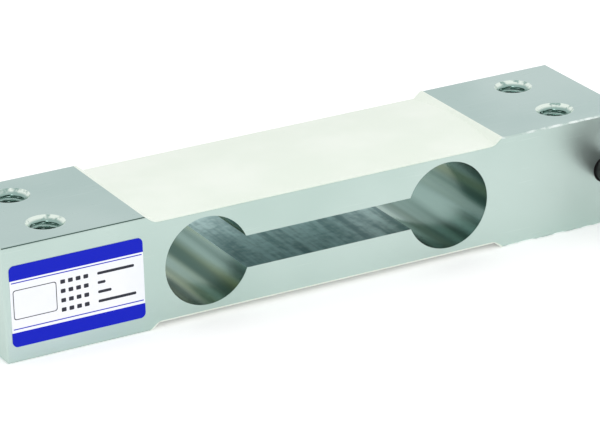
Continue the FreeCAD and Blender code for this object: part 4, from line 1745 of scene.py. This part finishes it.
@dataclass
class Studio:
    """Camera, lights, floor and surround.

    Attributes:
        azimuth: Degrees round the object; 0 looks along +Y.
        elevation: Degrees above the horizon.
        roll: Degrees of turn about the line of sight.
        aside: Sideways offset of the camera's line from the origin.
        above: Upward offset of that line.
        distance: From the origin to the camera.
        lens: Focal length in millimetres.
        sensor: Width of the sensor in millimetres.
        clip: Nearest and furthest distance that the camera sees.
        ambient: Strength of the surround's light on the object.
        lamps: The lights.
        floor_half: Half a side of the floor.
        floor_drop: How far under the object the floor lies.
        floor_glow: How much the floor is lifted towards white for the background's rays.
    """

    azimuth: float = -27.78
    elevation: float = 21.84
    roll: float = -1.69
    aside: float = 1.43 * MM
    above: float = 9.49 * MM
    distance: float = 699.59 * MM
    lens: float = 224.6
    sensor: float = 36.0
    clip: tuple[float, float] = (0.01, 10.0)
    ambient: float = 0.74
    lamps: tuple[Lamp, ...] = (
        Lamp("key", (-0.5, -0.9, 0.7), 0.7, 3.3),
        Lamp("fill", (0.8, -0.7, 0.4), 0.7, 1.6),
        Lamp("top", (0.1, 0.3, 1.1), 0.9, 1.7),
    )
    floor_half: float = 6.0
    floor_drop: float = 0.02 * MM
    floor_glow: float = 0.2

    def camera(self) -> None:
        """Places the camera."""
        angles = (self.azimuth, self.elevation, self.roll)
        azimuth, elevation, roll = (math.radians(angle) for angle in angles)
        level = math.cos(elevation)
        back = Vector((math.sin(azimuth) * level, -math.cos(azimuth) * level, math.sin(elevation)))
        right = Vector((math.cos(azimuth), math.sin(azimuth), 0))
        up = back.cross(right)
        rolled_right = math.cos(roll) * right + math.sin(roll) * up
        rolled_up = math.cos(roll) * up - math.sin(roll) * right
        matrix = Matrix((rolled_right, rolled_up, back)).transposed().to_4x4()
        matrix.translation = self.aside * rolled_right + self.above * rolled_up + self.distance * back
        data = bpy.data.cameras.new("camera")
        data.lens, data.sensor_width = self.lens, self.sensor
        data.clip_start, data.clip_end = self.clip
        camera = place_object("camera", data)
        camera.matrix_world = matrix
        bpy.context.scene.camera = camera

    def lights(self) -> None:
        """Hangs the lamps."""
        for lamp in self.lamps:
            data = bpy.data.lights.new(lamp.name, "AREA")
            data.shape, data.size, data.energy = "SQUARE", lamp.size, lamp.power
            light = place_object(lamp.name, data)
            light.location = lamp.place
            light.rotation_mode = "QUATERNION"
            light.rotation_quaternion = Vector(lamp.place).to_track_quat("Z", "Y")

    @staticmethod
    def backdrop_ray(tree: Tree) -> Socket:
        """One for rays that see the plain background: the camera's, and those in gloss and glass.

        Args:
            tree: The tree of the floor's or the surround's material.

        Returns:
            The mask.
        """
        path = tree.node("ShaderNodeLightPath").outputs
        seen = tree.math("MAXIMUM", path["Is Camera Ray"], path["Is Glossy Ray"])
        return tree.math("MAXIMUM", seen, path["Is Transmission Ray"])

    def surround(self) -> None:
        """White background that lights the object at a lower level."""
        world = bpy.data.worlds.new("surround")
        world.use_nodes = True
        tree = Tree(world.node_tree)
        background = world.node_tree.nodes["Background"]
        background.inputs["Color"].default_value = (1, 1, 1, 1)
        strength = tree.blend(self.backdrop_ray(tree), self.ambient, 1.0)
        tree.feed(background.inputs["Strength"], strength)
        bpy.context.scene.world = world

    def floor(self) -> None:
        """A wide pale floor just under the object."""
        half = self.floor_half
        around = ((-half, -half), (half, -half), (half, half), (-half, half))
        mesh = bpy.data.meshes.new("floor")
        mesh.from_pydata([(*corner, -self.floor_drop) for corner in around], [], [(0, 1, 2, 3)])
        floor = place_object("floor", mesh)
        look = Surface("floor_white", Tint.FLOOR, roughness=0.9)
        look.set("Specular IOR Level", 0.0)
        look.set("Emission Color", (1, 1, 1, 1))
        glow = look.tree.math("MULTIPLY", self.backdrop_ray(look.tree), self.floor_glow)
        look.set("Emission Strength", glow)
        mesh.materials.append(look.material)

    def build(self) -> None:
        """Sets up the whole stage."""
        bpy.context.scene.view_settings.view_transform = "Standard"
        self.camera()
        self.lights()
        self.surround()
        self.floor()
        LOG.info("stage built")


# ---------------------------------------------------------------- the whole


def main() -> None:
    """Builds the stage and every sub-assembly."""
    logging.basicConfig(level=logging.INFO)
    for leftover in list(bpy.data.objects):
        bpy.data.objects.remove(leftover)
    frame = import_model()
    nodes = frame["nodes"]

    Studio().build()
    effects = Effects()
    cable = SignalCable()
    wires = {
        tint: Moulded(f"wire_{tint.name.lower()}", tint, roughness=0.42).make(effects)
        for tint in (Tint.RED, Tint.BLACK, Tint.GREEN, Tint.WHITE)
    }
    wires[Tint.TINNED] = BareMetal("tinned_copper", Tint.TINNED).make(effects)
    jacket = cable.build(effects)
    StrippedEnd(cable).build(nodes, effects, wires)
    LoadBeam().build(nodes, effects)
    Coverings().build(nodes, effects)
    Circuit().build(nodes, effects, wires)


if __name__ == "__main__":
    main()
